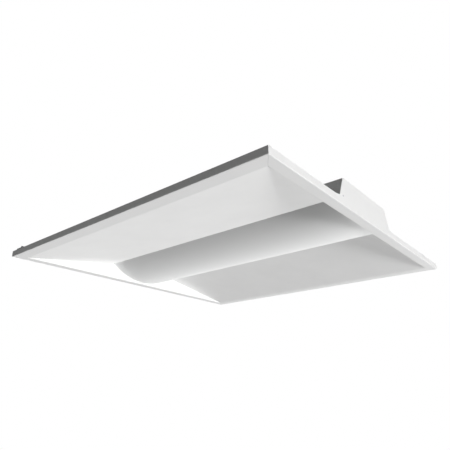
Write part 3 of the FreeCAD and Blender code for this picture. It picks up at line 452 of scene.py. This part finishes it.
def hexagon_screw():
    """A turned screw about Z whose head rows follow a hexagon and whose shank rows carry a thread.

    The hexagon's radius is the half width across flats over the cosine of the angle from the
    nearest flat. The thread is the root radius plus a ridge that repeats once per pitch and
    climbs one pitch per turn.
    """
    sides = 48
    thread_z = np.arange(-4.4, -0.5, THREAD_PITCH / 8)
    tip = [(0, -SCREW_REACH), (0.5, -SCREW_REACH + 0.3), (1.2, -5.2)]
    head = [
        (1.6, -0.3), (1.6, 0), (4.3, 0), (WASHER_RADIUS, 0.25), (4.5, 0.5), (3.9, WASHER_HIGH),
        (PAST_HEX, WASHER_HIGH), (PAST_HEX, 2.6), (3.25, HEAD_TOP), (2.5, HEAD_TOP), (2.2, 2.85),
        (0, 2.85),
    ]
    rows = np.array(tip + [(0, z) for z in thread_z] + head)
    radius = np.repeat(rows[:, :1], sides, 1)
    angle = on_rings(len(rows), sides)
    threaded = slice(len(tip), len(tip) + len(thread_z))
    climb = (rows[threaded, 1:] / THREAD_PITCH - angle[threaded] / (2 * math.pi)) % 1.0
    radius[threaded] = THREAD_ROOT + THREAD_HIGH * np.clip(1 - np.abs(climb - 0.5) * 4, 0, 1)
    from_flat = (angle + math.pi / 6) % (math.pi / 3) - math.pi / 6
    flats = HEX_CORNER * math.cos(math.pi / 6) / np.cos(from_flat)
    radius = np.minimum(radius, np.where(rows[:, 1:] >= WASHER_HIGH, flats, WASHER_RADIUS))
    rings = [radius * np.cos(angle), radius * np.sin(angle), np.repeat(rows[:, 1:], sides, 1)]
    return closed_rows(np.stack(rings, -1) * MM)


def block_shell(low, high):
    """A plain box between two corners in millimetres, used only as a cutting tool."""
    x, y, z = [np.array(pair) for pair in zip(low, high)]
    corners = [(x[i], y[j], z[k]) for k in (0, 1) for i, j in ((0, 0), (1, 0), (1, 1), (0, 1))]
    faces = [[0, 3, 2, 1], [4, 5, 6, 7], [0, 1, 5, 4], [1, 2, 6, 5], [2, 3, 7, 6], [3, 0, 4, 7]]
    return np.array(corners) * MM, faces


def cut(shell, *boxes):
    """A shell with boxes, each given as two corners, cut out of it one after the other."""
    piece = object_from("blank", shell)
    for low, high in boxes:
        tool = object_from("cutter", block_shell(low, high))
        change = piece.modifiers.new("cut", "BOOLEAN")
        change.operation = "DIFFERENCE"
        change.solver = "EXACT"
        change.object = tool
        after = piece.evaluated_get(bpy.context.evaluated_depsgraph_get())
        made = bpy.data.meshes.new_from_object(after)
        piece.modifiers.clear()
        piece.data = made
        bpy.data.objects.remove(tool)
    points = np.empty(len(piece.data.vertices) * 3)
    piece.data.vertices.foreach_get("co", points)
    faces = [list(face.vertices) for face in piece.data.polygons]
    bpy.data.objects.remove(piece)
    return points.reshape(-1, 3), faces


hexagon = cut(hexagon_screw(), ((-4, -SLOT_HALF, SLOT_FLOOR), (4, SLOT_HALF, 4)))
SPINE_LEAN, SPINE_TOP, SPINE_TOP_HALF = math.radians(23.8), 66.0, 80.0
SIDE_SCREW_Z = 45.3
side_screw_y = SPINE_TOP_HALF + (SPINE_TOP - SIDE_SCREW_Z) * math.tan(SPINE_LEAN)
out, rise = math.cos(SPINE_LEAN), math.sin(SPINE_LEAN)
side_screws = object_from("side_screws", together([
    seated(hexagon, (x, side * side_screw_y, SIDE_SCREW_Z), (0, side * out, rise), 25 + x / 9)
    for x in (-200, 200) for side in (1, -1)
]))
stand_for(side_screws, turned_zinc, "tray_screws", "fixture")
cover_screws = object_from("hatch_screws", together([
    seated(hexagon, (x, 54.5, 67.1), turn=x / 3) for x in (-115, 115)
]))
stand_for(cover_screws, turned_zinc, "cover_screws", "cover")
green_dye = finish("green_dye", (0.09, 0.38, 0.16), (0.60, 0.62, 0.60), 0.36, swing=0.08,
                   tint=0.2, metallic=0.6, grain=2400.0, depth=0.006, patches=260.0, rub=0.8,
                   radius=0.3, relief=turned_marks)
SUPPLY_X = -104
ground_screw = object_from("bonding_screw", seated(hexagon, (SUPPLY_X, -20, TRAY_TOP), turn=18))
stand_for(ground_screw, green_dye, "ground_screw", "fixture")

# ---------------------------------------------------------------- light engine boards
# Two long aluminium-core boards under the tray, with a glossy white solder mask. Wide copper
# strips under the mask show as a faint step in height and colour, broken between the chips.

BOARD_Y, BOARD_UNDER, CHIP_PITCH = 42.0, 38.5, 15.0


def copper_mask(tree):
    """Mask of the copper: a band 16 mm wide along each board, slit along its middle.

    Along the board, the distance to the nearest chip's middle is a triangle wave of the
    pitch. The band is open for 0.6 mm midway between chips.
    """
    place = tree.axes()
    beside = tree.math("SUBTRACT", tree.math("ABSOLUTE", place["Y"]), BOARD_Y * MM)
    side = tree.math("ABSOLUTE", beside)
    band = tree.spread(side, 8.2 * MM, 8.0 * MM)
    shifted = tree.math("ADD", place["X"], 0.5 * CHIP_PITCH * MM)
    along = tree.math("PINGPONG", shifted, 0.5 * CHIP_PITCH * MM)
    open_gap = tree.spread(along, 7.1 * MM, 7.2 * MM, 1.0, 0.0)
    slit = tree.spread(side, 0.3 * MM, 0.4 * MM)
    return tree.math("MULTIPLY", tree.math("MULTIPLY", band, open_gap), slit)


def copper_step(tree):
    """The copper stands 0.04 mm proud."""
    return tree.math("MULTIPLY", copper_mask(tree), 0.04 * MM)


def copper_shade(tree, shade):
    """The mask's white turns half way to a yellowish grey over the copper."""
    return tree.blend(tree.math("MULTIPLY", copper_mask(tree), 0.5), shade, (0.76, 0.78, 0.74))


# painted shade: the mask's white is set a little darker, so that the brightly lit boards are held
# back
shaded_solder_mask = finish("shaded_solder_mask", (0.83, 0.84, 0.83), (0.56, 0.50, 0.30), 0.28, swing=0.05,
                     grain=2200.0, depth=0.006, patches=60.0, rub=0.7, radius=0.25,
                     relief=copper_step, pattern=copper_shade, Coat_Weight=0.3)
dress(shaded_solder_mask, "led_board_a", "led_board_b")


def rounded_rows(levels, steps=3):
    """Rings of a shell whose section is a rounded rectangle at every level.

    Each level is (half width, half depth, corner radius, height). A ring's point is its
    corner's centre plus the corner radius along the angle, a quarter turn per corner.
    """
    half_x, half_y, corner, height = np.array(levels, float).T[:, :, None]
    quarter = np.linspace(0, math.pi / 2, steps + 1)
    angle = np.concatenate([quarter + turn * math.pi / 2 for turn in range(4)])
    sign_x = np.repeat([1, -1, -1, 1], steps + 1)
    sign_y = np.repeat([1, 1, -1, -1], steps + 1)
    x = sign_x * (half_x - corner) + corner * np.cos(angle)
    y = sign_y * (half_y - corner) + corner * np.sin(angle)
    return closed_rows(np.stack([x, y, height + 0 * x], -1) * MM)


def moulded_block(half_x, half_y, low, high, edge=0.4, corner=0.6):
    """A block with rounded uprights and softened edges above and below."""
    soft = edge * (1 - math.cos(math.pi / 4))
    levels = [
        (half_x - edge, half_y - edge, corner - edge + 0.02, low),
        (half_x - soft, half_y - soft, corner - soft, low + soft),
        (half_x, half_y, corner, low + edge),
        (half_x, half_y, corner, high - edge),
        (half_x - soft, half_y - soft, corner - soft, high - soft),
        (half_x - edge, half_y - edge, corner - edge + 0.02, high),
    ]
    return rounded_rows(levels)


# ---------------------------------------------------------------- chips
# 36 white packages to a board, each with a cup of yellow phosphor silicone and a bright
# solder pad at each end.

CHIP_COUNT = 36
CHIP_X, CHIP_Y, CHIP_Z = 1.75, 1.4, 0.8
PAD_IN = 0.42    # from the package's end to the pad's middle

package = finish("package_white", (0.90, 0.90, 0.88), (0.80, 0.80, 0.78), 0.40, swing=0.04,
                 tint=0.03, grain=5000.0, depth=0.004, patches=700.0, radius=0.06)
phosphor = finish("phosphor_silicone", (0.93, 0.79, 0.26), (0.95, 0.86, 0.50), 0.22, swing=0.05,
                  tint=0.12, grain=9000.0, depth=0.006, patches=1100.0, radius=0.06,
                  Coat_Weight=0.5)
solder = finish("tin_solder", (0.76, 0.77, 0.78), (0.88, 0.88, 0.88), 0.24, swing=0.10, tint=0.15,
                metallic=1.0, grain=4000.0, depth=0.006, patches=900.0, radius=0.06)

shell_levels = [
    (CHIP_X - 0.35, CHIP_Y, 0.12, 0.0),
    (CHIP_X - 0.35, CHIP_Y, 0.12, CHIP_Z - 0.08),
    (CHIP_X - 0.42, CHIP_Y - 0.07, 0.10, CHIP_Z),
    (1.12, 1.02, 0.34, CHIP_Z),
    (0.98, 0.88, 0.30, CHIP_Z - 0.18),
]
fill_levels = [
    (1.05, 0.95, 0.32, CHIP_Z - 0.2),
    (1.00, 0.90, 0.30, CHIP_Z - 0.12),
    (0.55, 0.5, 0.2, CHIP_Z - 0.10),
]
pad_levels = [(0.42, 1.05, 0.1, 0.0), (0.42, 1.05, 0.1, 0.18), (0.25, 0.85, 0.1, 0.34)]
pad = rounded_rows(pad_levels, 1)
pads = together([seated(pad, (side * (CHIP_X - PAD_IN), 0, 0)) for side in (1, -1)])
chip_parts = [
    (package, rounded_rows(shell_levels, 2)),
    (phosphor, rounded_rows(fill_levels, 2)),
    (solder, pads),
]
chip_places = (np.arange(CHIP_COUNT) - (CHIP_COUNT - 1) / 2) * CHIP_PITCH
for name, side in (("a", -1), ("b", 1)):
    shells = []
    owners = []
    for number, (material, shell) in enumerate(chip_parts):
        places = [(x, side * BOARD_Y, BOARD_UNDER) for x in chip_places]
        shells.append(together([seated(shell, place, (0, 0, -1)) for place in places]))
        owners += [number] * len(shells[-1][1])
    chips = object_from(f"chip_row_{name}", together(shells))
    for material, _ in chip_parts:
        chips.data.materials.append(material)
    chips.data.polygons.foreach_set("material_index", owners)
    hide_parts(f"led_chips_{name}")
    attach(chips, "fixture")

# ---------------------------------------------------------------- board connectors
# Small moulded nylon connectors, each with two wire ports towards the grommet, a release
# slot over each port, and a groove between them. Nylon keeps the mould's spark-eroded grain.

moulded_white = finish("moulded_white", (0.88, 0.88, 0.87), (0.94, 0.94, 0.93), 0.50, tint=0.03,
                       grain=1500.0, depth=0.02, patches=30.0)
CONNECTOR_X, CONNECTOR_Y = 261.0, 35.0
PORT_HALF = 1.3
connector_cuts = []
for y in (-2, 2):
    connector_cuts.append(((-6, y - PORT_HALF, 0.7), (1.5, y + PORT_HALF, 3.3)))
    connector_cuts.append(((-1.5, y - 0.5, 3.2), (1.0, y + 0.5, 5)))
connector_cuts.append(((-6, -0.2, 3.5), (6, 0.2, 5)))
connector_body = cut(moulded_block(5.0, 4.0, 0.0, 4.0, 0.3, 0.5), *connector_cuts)
for name, side in (("a", -1), ("b", 1)):
    place = (CONNECTOR_X, side * CONNECTOR_Y, BOARD_UNDER)
    shell = seated(connector_body, place, (0, 0, -1), 180)
    connector = object_from(f"push_in_connector_{name}", shell)
    stand_for(connector, moulded_white, f"board_connector_{name}", "fixture")

# ---------------------------------------------------------------- cross-recess screws
# Cheese-head screws of 2.8 mm thread that hold the boards, the driver and the supply block,
# in bright zinc, each with a cross recess.

RIDGE_RADIUS, VALLEY_RADIUS, RIDGE_STEP = 1.4, 1.12, 0.25
CHEESE_RADIUS, CHEESE_TOP, CHEESE_ROUND = 2.8, 1.6, 0.45
RECESS_LONG, RECESS_WIDE, RECESS_FLOOR = 1.5, 0.3, 0.9


def cheese_head_screw(grip):
    """A turned head, its upper edge a quarter circle, over a shank with a ridge every 0.5 mm."""
    ridge_z = np.arange(-grip + 0.2, -0.3, RIDGE_STEP)
    ridges = [(RIDGE_RADIUS if i % 2 else VALLEY_RADIUS, z) for i, z in enumerate(ridge_z)]
    soft = [
        (CHEESE_RADIUS - CHEESE_ROUND * (1 - math.cos(a)), 1.15 + CHEESE_ROUND * math.sin(a))
        for a in np.linspace(0, math.pi / 2, 4)
    ]
    neck = [(RIDGE_RADIUS, -0.1), (RIDGE_RADIUS, 0), (2.7, 0), (CHEESE_RADIUS, 0.1)]
    profile = [(0, -grip), (0.9, -grip)] + ridges + neck + soft + [(0, CHEESE_TOP)]
    return cut(
        turned_shell(profile, 32),
        ((-RECESS_LONG, -RECESS_WIDE, RECESS_FLOOR), (RECESS_LONG, RECESS_WIDE, 3)),
        ((-RECESS_WIDE, -RECESS_LONG, RECESS_FLOOR), (RECESS_WIDE, RECESS_LONG, 3)),
    )


board_screw = cheese_head_screw(2.3)
board_screws = object_from("mask_screws", together([
    seated(board_screw, (x, side * BOARD_Y, BOARD_UNDER), (0, 0, -1), 20 + x / 5)
    for x in (-180, 0, 180) for side in (1, -1)
]))
stand_for(board_screws, turned_zinc, "board_screws", "fixture")
GEAR_Y, EAR_TOP, LUG_TOP = 25, 42.0, 43.3
ear_screw = cheese_head_screw(2.0)
lug_screw = cheese_head_screw(3.3)
gear_screws = object_from("gear_fixings", together(
    [seated(ear_screw, (x, GEAR_Y, EAR_TOP), turn=x / 4) for x in (-67, 187)]
    + [seated(lug_screw, (SUPPLY_X, y, LUG_TOP), turn=y) for y in (GEAR_Y - 13.5, GEAR_Y + 13.5)]
))
stand_for(gear_screws, turned_zinc, "gear_screws", "fixture")

# ---------------------------------------------------------------- driver
# A can of plated sheet with rolled upper edges. Its lid is crimped over the base along both
# sides, with a dimple every 40 mm, and its ears are part of the base.

LID_EDGE_Z, CRIMP_Z, CRIMP_PITCH = 44.0, 47.5, 40


def crimped_lid(tree):
    """The lid's edge as a 0.3 mm step at one height, and round crimps 0.35 mm deep above it."""
    place = tree.axes()
    lid_edge = tree.spread(place["Z"], (LID_EDGE_Z - 0.1) * MM, (LID_EDGE_Z + 0.1) * MM)
    step = tree.math("MULTIPLY", lid_edge, 0.3 * MM)
    along = tree.math("PINGPONG", place["X"], CRIMP_PITCH / 2 * MM)
    height = tree.math("SUBTRACT", place["Z"], CRIMP_Z * MM)
    squares = tree.math("ADD", tree.math("POWER", along, 2.0), tree.math("POWER", height, 2.0))
    dimple = tree.spread(tree.math("SQRT", squares), 1.9 * MM, 0.9 * MM)
    return tree.math("ADD", step, tree.math("MULTIPLY", dimple, -0.35 * MM))


def rolled_streaks(tree, shade):
    """The sheet's rolling direction along X: fine streaks, long in X and 0.6 mm wide."""
    streaks = tree.noise(1.0, 3.0, 0.6, (12, 1800, 1800))
    return tree.blend(tree.spread(streaks, 0.35, 0.65, 0.0, 0.3), shade, (0.34, 0.35, 0.365))


plated_sheet = finish("plated_sheet", (0.43, 0.44, 0.455), (0.62, 0.62, 0.63), 0.50, swing=0.08,
                      tint=0.10, metallic=0.9, grain=1500.0, depth=0.01, patches=45.0, rub=0.5,
                      dust=0.12, relief=crimped_lid, pattern=rolled_streaks)
dress(plated_sheet, "driver_case")

# ---------------------------------------------------------------- driver terminals, supply block
# Moulded nylon push-in terminals. Each way has a square wire port and a release button over
# it. The supply block is orange, with grooves between its three ways and a lug at each end.

grey_nylon = finish("grey_nylon", (0.60, 0.61, 0.62), (0.70, 0.70, 0.71), 0.48, tint=0.05,
                    grain=1500.0, depth=0.02, patches=40.0, dust=0.1)
orange_nylon = finish("orange_nylon", (0.84, 0.40, 0.10), (0.90, 0.52, 0.22), 0.45, tint=0.06,
                      grain=1500.0, depth=0.02, patches=40.0, dust=0.1)
TERMINAL_FLOOR, TERMINAL_WIDE = 43.8, 24.0


def way_middles(ways):
    """The ways' middles, spread evenly across a terminal."""
    return (np.arange(ways) - (ways - 1) / 2) * TERMINAL_WIDE / ways


def push_in_terminal(ways):
    """A block whose face looks along +X, with a port, a funnel round it and a button's well."""
    body = seated(moulded_block(8.0, TERMINAL_WIDE / 2, 0, 11.0, 0.25, 0.4), (-8.0, 0, 0))
    boxes = []
    for y in way_middles(ways):
        boxes.append(((-7, y - PORT_HALF, 2.7), (1, y + PORT_HALF, 5.3)))
        boxes.append(((-0.5, y - 1.8, 2.2), (1, y + 1.8, 5.8)))
        boxes.append(((-3, y - 0.9, 7.0), (1, y + 0.9, 9.6)))
    return cut(body, *boxes)


def release_buttons(ways):
    """One button in each well, its face 0.3 mm behind the terminal's."""
    button = moulded_block(1.2, 0.8, 7.1, 9.5, 0.2, 0.3)
    return together([seated(button, (-1.5, y, 0)) for y in way_middles(ways)])


def two_tone(piece, second, shells):
    """Gives the faces of a piece's last shell a second finish."""
    piece.data.materials.append(second)
    owners = [0] * sum(len(shell[1]) for shell in shells[:-1]) + [1] * len(shells[-1][1])
    piece.data.polygons.foreach_set("material_index", owners)


for name, ways, x, turn in (("input", 3, -60.0, 180), ("output", 4, 180.0, 0)):
    place = (x, GEAR_Y, TERMINAL_FLOOR)
    shells = [
        seated(part, place, turn=turn) for part in (push_in_terminal(ways), release_buttons(ways))
    ]
    terminal = object_from(f"{name}_push_in", together(shells))
    stand_for(terminal, grey_nylon, f"driver_{name}_terminal", "fixture")
    two_tone(terminal, orange_nylon, shells)

SUPPLY_HALF, KEY_X = 9, 5
both_sides = [(side, y) for side in (1, -1) for y in (-20 / 3, 0, 20 / 3)]
port_boxes = [
    ((side * SUPPLY_HALF - 7, y - PORT_HALF, 5.7), (side * SUPPLY_HALF + 7, y + PORT_HALF, 8.3))
    for side, y in both_sides
]
funnel_boxes = [
    ((side * SUPPLY_HALF - 0.6, y - 2.0, 5.0), (side * SUPPLY_HALF + 0.6, y + 2.0, 9.0))
    for side, y in both_sides
]
groove_boxes = [((-10, y - 0.25, 12.5), (10, y + 0.25, 16)) for y in (-10 / 3, 10 / 3)]
well_boxes = [
    ((side * KEY_X - 2.4, y - 1.7, 13.2), (side * KEY_X + 2.4, y + 1.7, 16))
    for side, y in both_sides
]
supply_body = cut(
    moulded_block(SUPPLY_HALF, 10.0, 0, 15.0, 0.4, 0.6),
    *port_boxes, *funnel_boxes, *groove_boxes, *well_boxes,
)
lug = cut(moulded_block(6.0, 4.2, 0, 2.5, 0.25, 1.6), ((-1.5, -1.5, -1), (1.5, 1.5, 4)))
lugs = together([seated(lug, (0, side * 12.8, 0)) for side in (1, -1)])
key = moulded_block(2.1, 1.4, 12.6, 14.8, 0.3, 0.5)
keys = together([seated(key, (side * KEY_X, y, 0)) for side, y in both_sides])
shells = [seated(part, (SUPPLY_X, GEAR_Y, TRAY_TOP)) for part in (supply_body, lugs, keys)]
supply_block = object_from("supply_push_in", together(shells))
stand_for(supply_block, orange_nylon, "terminal_block", "fixture")
two_tone(supply_block, grey_nylon, shells)

# ---------------------------------------------------------------- grommet
# A moulded rubber ring snapped into the tray's hole, with a soft lip on each side, so that
# the leads to the boards don't rub on the sheet.

GROOVE_RADIUS, LIP_FROM, LIP_TO = 5.95, 6.6, 7.6
GROMMET_PLACE = (232, -14, TRAY_UNDER)


def ring_shell(profile, sides=64):
    """A closed profile of (radius, height) carried round Z: quads between each pair of points."""
    rows = len(profile)
    row, side = np.meshgrid(np.arange(rows), np.arange(sides), indexing="ij")
    quads = quads_between(row, (row + 1) % rows, side, (side + 1) % sides, sides)
    return ring_points(profile, sides).reshape(-1, 3), quads


def soft_lip(low, high):
    """The lip's rounded outer edge: half an ellipse from its lower to its upper side."""
    reach, half = LIP_TO - LIP_FROM, (high - low) / 2
    return [
        (LIP_FROM + reach * math.cos(a), (low + high) / 2 + half * math.sin(a))
        for a in np.linspace(-math.pi / 2, math.pi / 2, 9)
    ]


rubber = finish("grommet_rubber", (0.045, 0.045, 0.048), (0.10, 0.10, 0.10), 0.70, swing=0.08,
                tint=0.25, grain=1100.0, depth=0.03, patches=80.0, dust=0.2)
grommet_profile = (
    soft_lip(-1.4, -0.02) + [(GROOVE_RADIUS, 0.0), (GROOVE_RADIUS, 0.8)] + soft_lip(0.82, 2.2)
    + [(4.2, 2.2), (3.7, 2.0), (3.5, 1.6), (3.5, -0.8), (3.7, -1.2), (4.2, -1.4)]
)
grommet = object_from("rubber_grommet", seated(ring_shell(grommet_profile), GROMMET_PLACE))
stand_for(grommet, rubber, "wire_grommet", "fixture")

# ---------------------------------------------------------------- lens
# One extruded acrylic diffuser, 2 mm thick and frosted, whose upright ribs stand clear of
# the tray. Extruding leaves very fine lines along it. The ribs are notched for the pivots.

LENS_END, LENS_HALF, LENS_DROP, LENS_WALL = 283.4, 85.2, 28.2, 2.0
LENS_BOTTOM, RIB_TOP = 4.3, 36.4
LENS_RADIUS = (LENS_HALF**2 + LENS_DROP**2) / (2 * LENS_DROP)


def lens_section(count):
    """Closed section in Y and Z: outer arc, rib, inner arc back, rib.

    Both arcs share the centre at bottom + radius: z = centre - radius * cos(angle) and
    y = radius * sin(angle). A rib's top is half a circle of the wall's width.
    """
    centre = LENS_BOTTOM + LENS_RADIUS
    inner_radius = LENS_RADIUS - LENS_WALL
    outer = np.linspace(-1, 1, count) * math.asin(LENS_HALF / LENS_RADIUS)
    inner = np.linspace(1, -1, count) * math.asin((LENS_HALF - LENS_WALL) / inner_radius)
    round_top = np.linspace(0, math.pi, 9)
    half = LENS_WALL / 2
    rib_y, rib_z = LENS_HALF - half, RIB_TOP - half
    ribs = [
        np.stack([side * rib_y + half * np.cos(round_top), rib_z + half * np.sin(round_top)], 1)
        for side in (1, -1)
    ]
    arcs = [
        np.stack([radius * np.sin(angle), centre - radius * np.cos(angle)], 1)
        for radius, angle in ((LENS_RADIUS, outer), (inner_radius, inner))
    ]
    return np.concatenate([arcs[0], ribs[0], arcs[1], ribs[1]])


def extrusion_lines(tree):
    """Fine lines along X, 0.4 mm apart and 0.006 mm high, on a slow wave of 0.06 mm."""
    fine = tree.math("MULTIPLY", tree.noise(1.0, 2.0, 0.5, (3, 2400, 2400)), 0.006 * MM)
    slow = tree.math("MULTIPLY", tree.noise(1.0, 1.0, 0.5, (1.5, 55, 20)), 0.06 * MM)
    return tree.math("ADD", fine, slow)


section = lens_section(121)
stations = np.linspace(-LENS_END, LENS_END, 13)
lens_points = np.stack([
    np.repeat(stations[:, None], len(section), 1),
    np.repeat(section[None, :, 0], len(stations), 0),
    np.repeat(section[None, :, 1], len(stations), 0),
], -1) * MM
pivot_y = LENS_WALL / 2 - LENS_HALF
notches = [
    ((x - 6.3, pivot_y - 2.4, 30.7), (x + 6.3, pivot_y + 2.4, RIB_TOP + 2))
    for x in (-LENS_END, LENS_END)
]
frosted = finish("frosted_acrylic", (0.90, 0.905, 0.90), (0.93, 0.93, 0.93), 0.46, swing=0.03,
                 tint=0.015, grain=1800.0, depth=0.012, patches=6.0, rub=0.2,
                 relief=extrusion_lines, Specular_IOR_Level=0.4)
lens = object_from("lens_diffuser", cut(closed_rows(lens_points), *notches), 30.0)
stand_for(lens, frosted, "lens", "lens_door")

# ---------------------------------------------------------------- lens end caps, pins and catches
# Injection-moulded nylon caps inside the lens's ends, each with a pivot boss and a catch
# blade. Steel pins turn in the end plates. The catches are bent from oiled spring steel.

dress(moulded_white, "lens_end_cap_a", "lens_end_cap_b")
pin_start = LENS_END - 6.0
pin_long = 284.8 - pin_start
lens_pin = turned_shell([
    (0, 0), (1.2, 0), (PIN_RADIUS, 0.3),
    (PIN_RADIUS, pin_long - 0.4), (1.1, pin_long), (0, pin_long),
])
pin_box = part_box("lens_hinge_pins")
pivot_z = (pin_box[0][2] + pin_box[1][2]) / 2 / MM
lens_pins = object_from("pivot_pins", together([
    seated(lens_pin, (side * pin_start, pivot_y, pivot_z), (side, 0, 0)) for side in (1, -1)
]))
stand_for(lens_pins, turned_zinc, "lens_hinge_pins", "lens_door")


def draw_lines(tree):
    """Lines of the strip's rolling along X, 0.25 mm apart and 0.008 mm deep."""
    return tree.math("MULTIPLY", tree.noise(1.0, 2.0, 0.6, (60, 4000, 4000)), 0.008 * MM)


spring_steel = finish("spring_steel", (0.34, 0.35, 0.365), (0.62, 0.62, 0.63), 0.30, swing=0.09,
                      tint=0.2, metallic=1.0, grain=1200.0, depth=0.006, patches=90.0, rub=0.6,
                      radius=0.25, relief=draw_lines)
dress(spring_steel, "lens_catch_a", "lens_catch_b")

# ---------------------------------------------------------------- grid clips
# Punched steel fingers in black oxide that swing out over the ceiling's tees. Hands rub
# their edges and corners bright.

black_oxide = finish("black_oxide", (0.04, 0.04, 0.043), (0.32, 0.32, 0.33), 0.5, swing=0.08,
                     tint=0.25, metallic=0.3, grain=1400.0, depth=0.012, patches=120.0, rub=0.7,
                     radius=0.3, dust=0.12)
dress(black_oxide, "grid_clip_a", "grid_clip_b")

# ---------------------------------------------------------------- stage, lights and camera
# A plain pale floor well below the light and a white surround. Soft lamps shine from +Y and
# from +X, both a little from below, one lights the housing from above, and a weak one fills
# in from above at -X. The camera stands below the -Y, +X corner and looks up.

FLOOR_Z, FLOOR_HALF = -1.5, 5.0
corner_signs = ((-1, -1), (1, -1), (1, 1), (-1, 1))
floor_corners = [(x * FLOOR_HALF, y * FLOOR_HALF, FLOOR_Z) for x, y in corner_signs]
floor_mesh = bpy.data.meshes.new("floor")
floor_mesh.from_pydata(floor_corners, [], [(0, 1, 2, 3)])
floor = bpy.data.objects.new("floor", floor_mesh)
bpy.context.scene.collection.objects.link(floor)
floor.visible_shadow = False      # the lamps below it reach the light


def seen_directly(tree):
    """1 for rays that show the surround itself: from the camera, through glass or off a gloss."""
    path = tree.add("ShaderNodeLightPath").outputs
    seen = tree.math("MAXIMUM", path["Is Camera Ray"], path["Is Transmission Ray"])
    return tree.math("MAXIMUM", seen, path["Is Glossy Ray"])


def chosen(tree, lit, shown, output):
    """Puts out one shader to rays that see it directly and another to those that it lights."""
    inputs = {0: seen_directly(tree), 1: lit.outputs[0], 2: shown.outputs[0]}
    choice = tree.add("ShaderNodeMixShader", inputs)
    tree.add(output, {"Surface": choice.outputs[0]})


floor_paint = bpy.data.materials.new("pale_floor")
floor_paint.use_nodes = True
floor_paint.node_tree.nodes.clear()
tree = Tree(floor_paint.node_tree)
pale = tree.add("ShaderNodeBsdfDiffuse", {"Color": (0.5, 0.5, 0.5, 1)})
glow = tree.add("ShaderNodeEmission", {"Strength": 0.78})
shown = tree.add("ShaderNodeAddShader", {0: pale.outputs[0], 1: glow.outputs[0]})
dim = tree.add("ShaderNodeBsdfDiffuse", {"Color": (0.15, 0.15, 0.15, 1)})
chosen(tree, dim, shown, "ShaderNodeOutputMaterial")
floor.data.materials.append(floor_paint)


def lamp(name, toward, strength, softness):
    """A soft sun along a direction. strength is its light on a facing surface."""
    data = bpy.data.lights.new(name, "SUN")
    data.energy = strength
    data.angle = math.radians(softness)
    light = bpy.data.objects.new(name, data)
    light.rotation_euler = Vector(toward).to_track_quat("-Z", "Y").to_euler()
    bpy.context.scene.collection.objects.link(light)


lamp("side_lamp", (0, -0.80, 0.60), 2.35, 20)
lamp("end_lamp", (-0.975, 0, 0.22), 2.35, 15)
lamp("top_lamp", (-0.05, -0.70, -0.71), 1.9, 35)
lamp("back_lamp", (0.85, -0.20, -0.45), 0.45, 40)

WHITE = (1, 1, 1, 1)
FADE_FROM, FADE_TO = -0.35, 0.02            # the Z of a direction, from -1 down to 1 up
LIGHT_BELOW, LIGHT_ABOVE = 0.61, 0.06       # the surround's strength below and above those
world = bpy.data.worlds.new("studio")
bpy.context.scene.world = world
world.use_nodes = True
world.node_tree.nodes.clear()
tree = Tree(world.node_tree)
height = tree.axes("Generated")["Z"]
fade = tree.spread(height, FADE_FROM, FADE_TO, LIGHT_BELOW, LIGHT_ABOVE)
soft = tree.add("ShaderNodeBackground", {"Color": WHITE, "Strength": fade})
white = tree.add("ShaderNodeBackground", {"Color": WHITE, "Strength": 1.0})
chosen(tree, soft, white, "ShaderNodeOutputWorld")

# The photograph's own view: its shift is 15 of its 450 pixels.
CAMERA_PLACE = (0.5417, -0.6458, -0.2495)
CAMERA_RISE = math.radians(21.48)
CAMERA_HEADING = (-0.6318, 0.7751)
camera_data = bpy.data.cameras.new("camera")
camera_data.sensor_width = 36
camera_data.lens = 34.98
camera_data.shift_x = -15 / 450
camera = bpy.data.objects.new("camera", camera_data)
camera.location = CAMERA_PLACE
level = math.cos(CAMERA_RISE)
ahead = Vector((CAMERA_HEADING[0] * level, CAMERA_HEADING[1] * level, math.sin(CAMERA_RISE)))
camera.rotation_euler = ahead.to_track_quat("-Z", "Y").to_euler()
bpy.context.scene.collection.objects.link(camera)
bpy.context.scene.camera = camera
bpy.context.scene.view_settings.view_transform = "Standard"
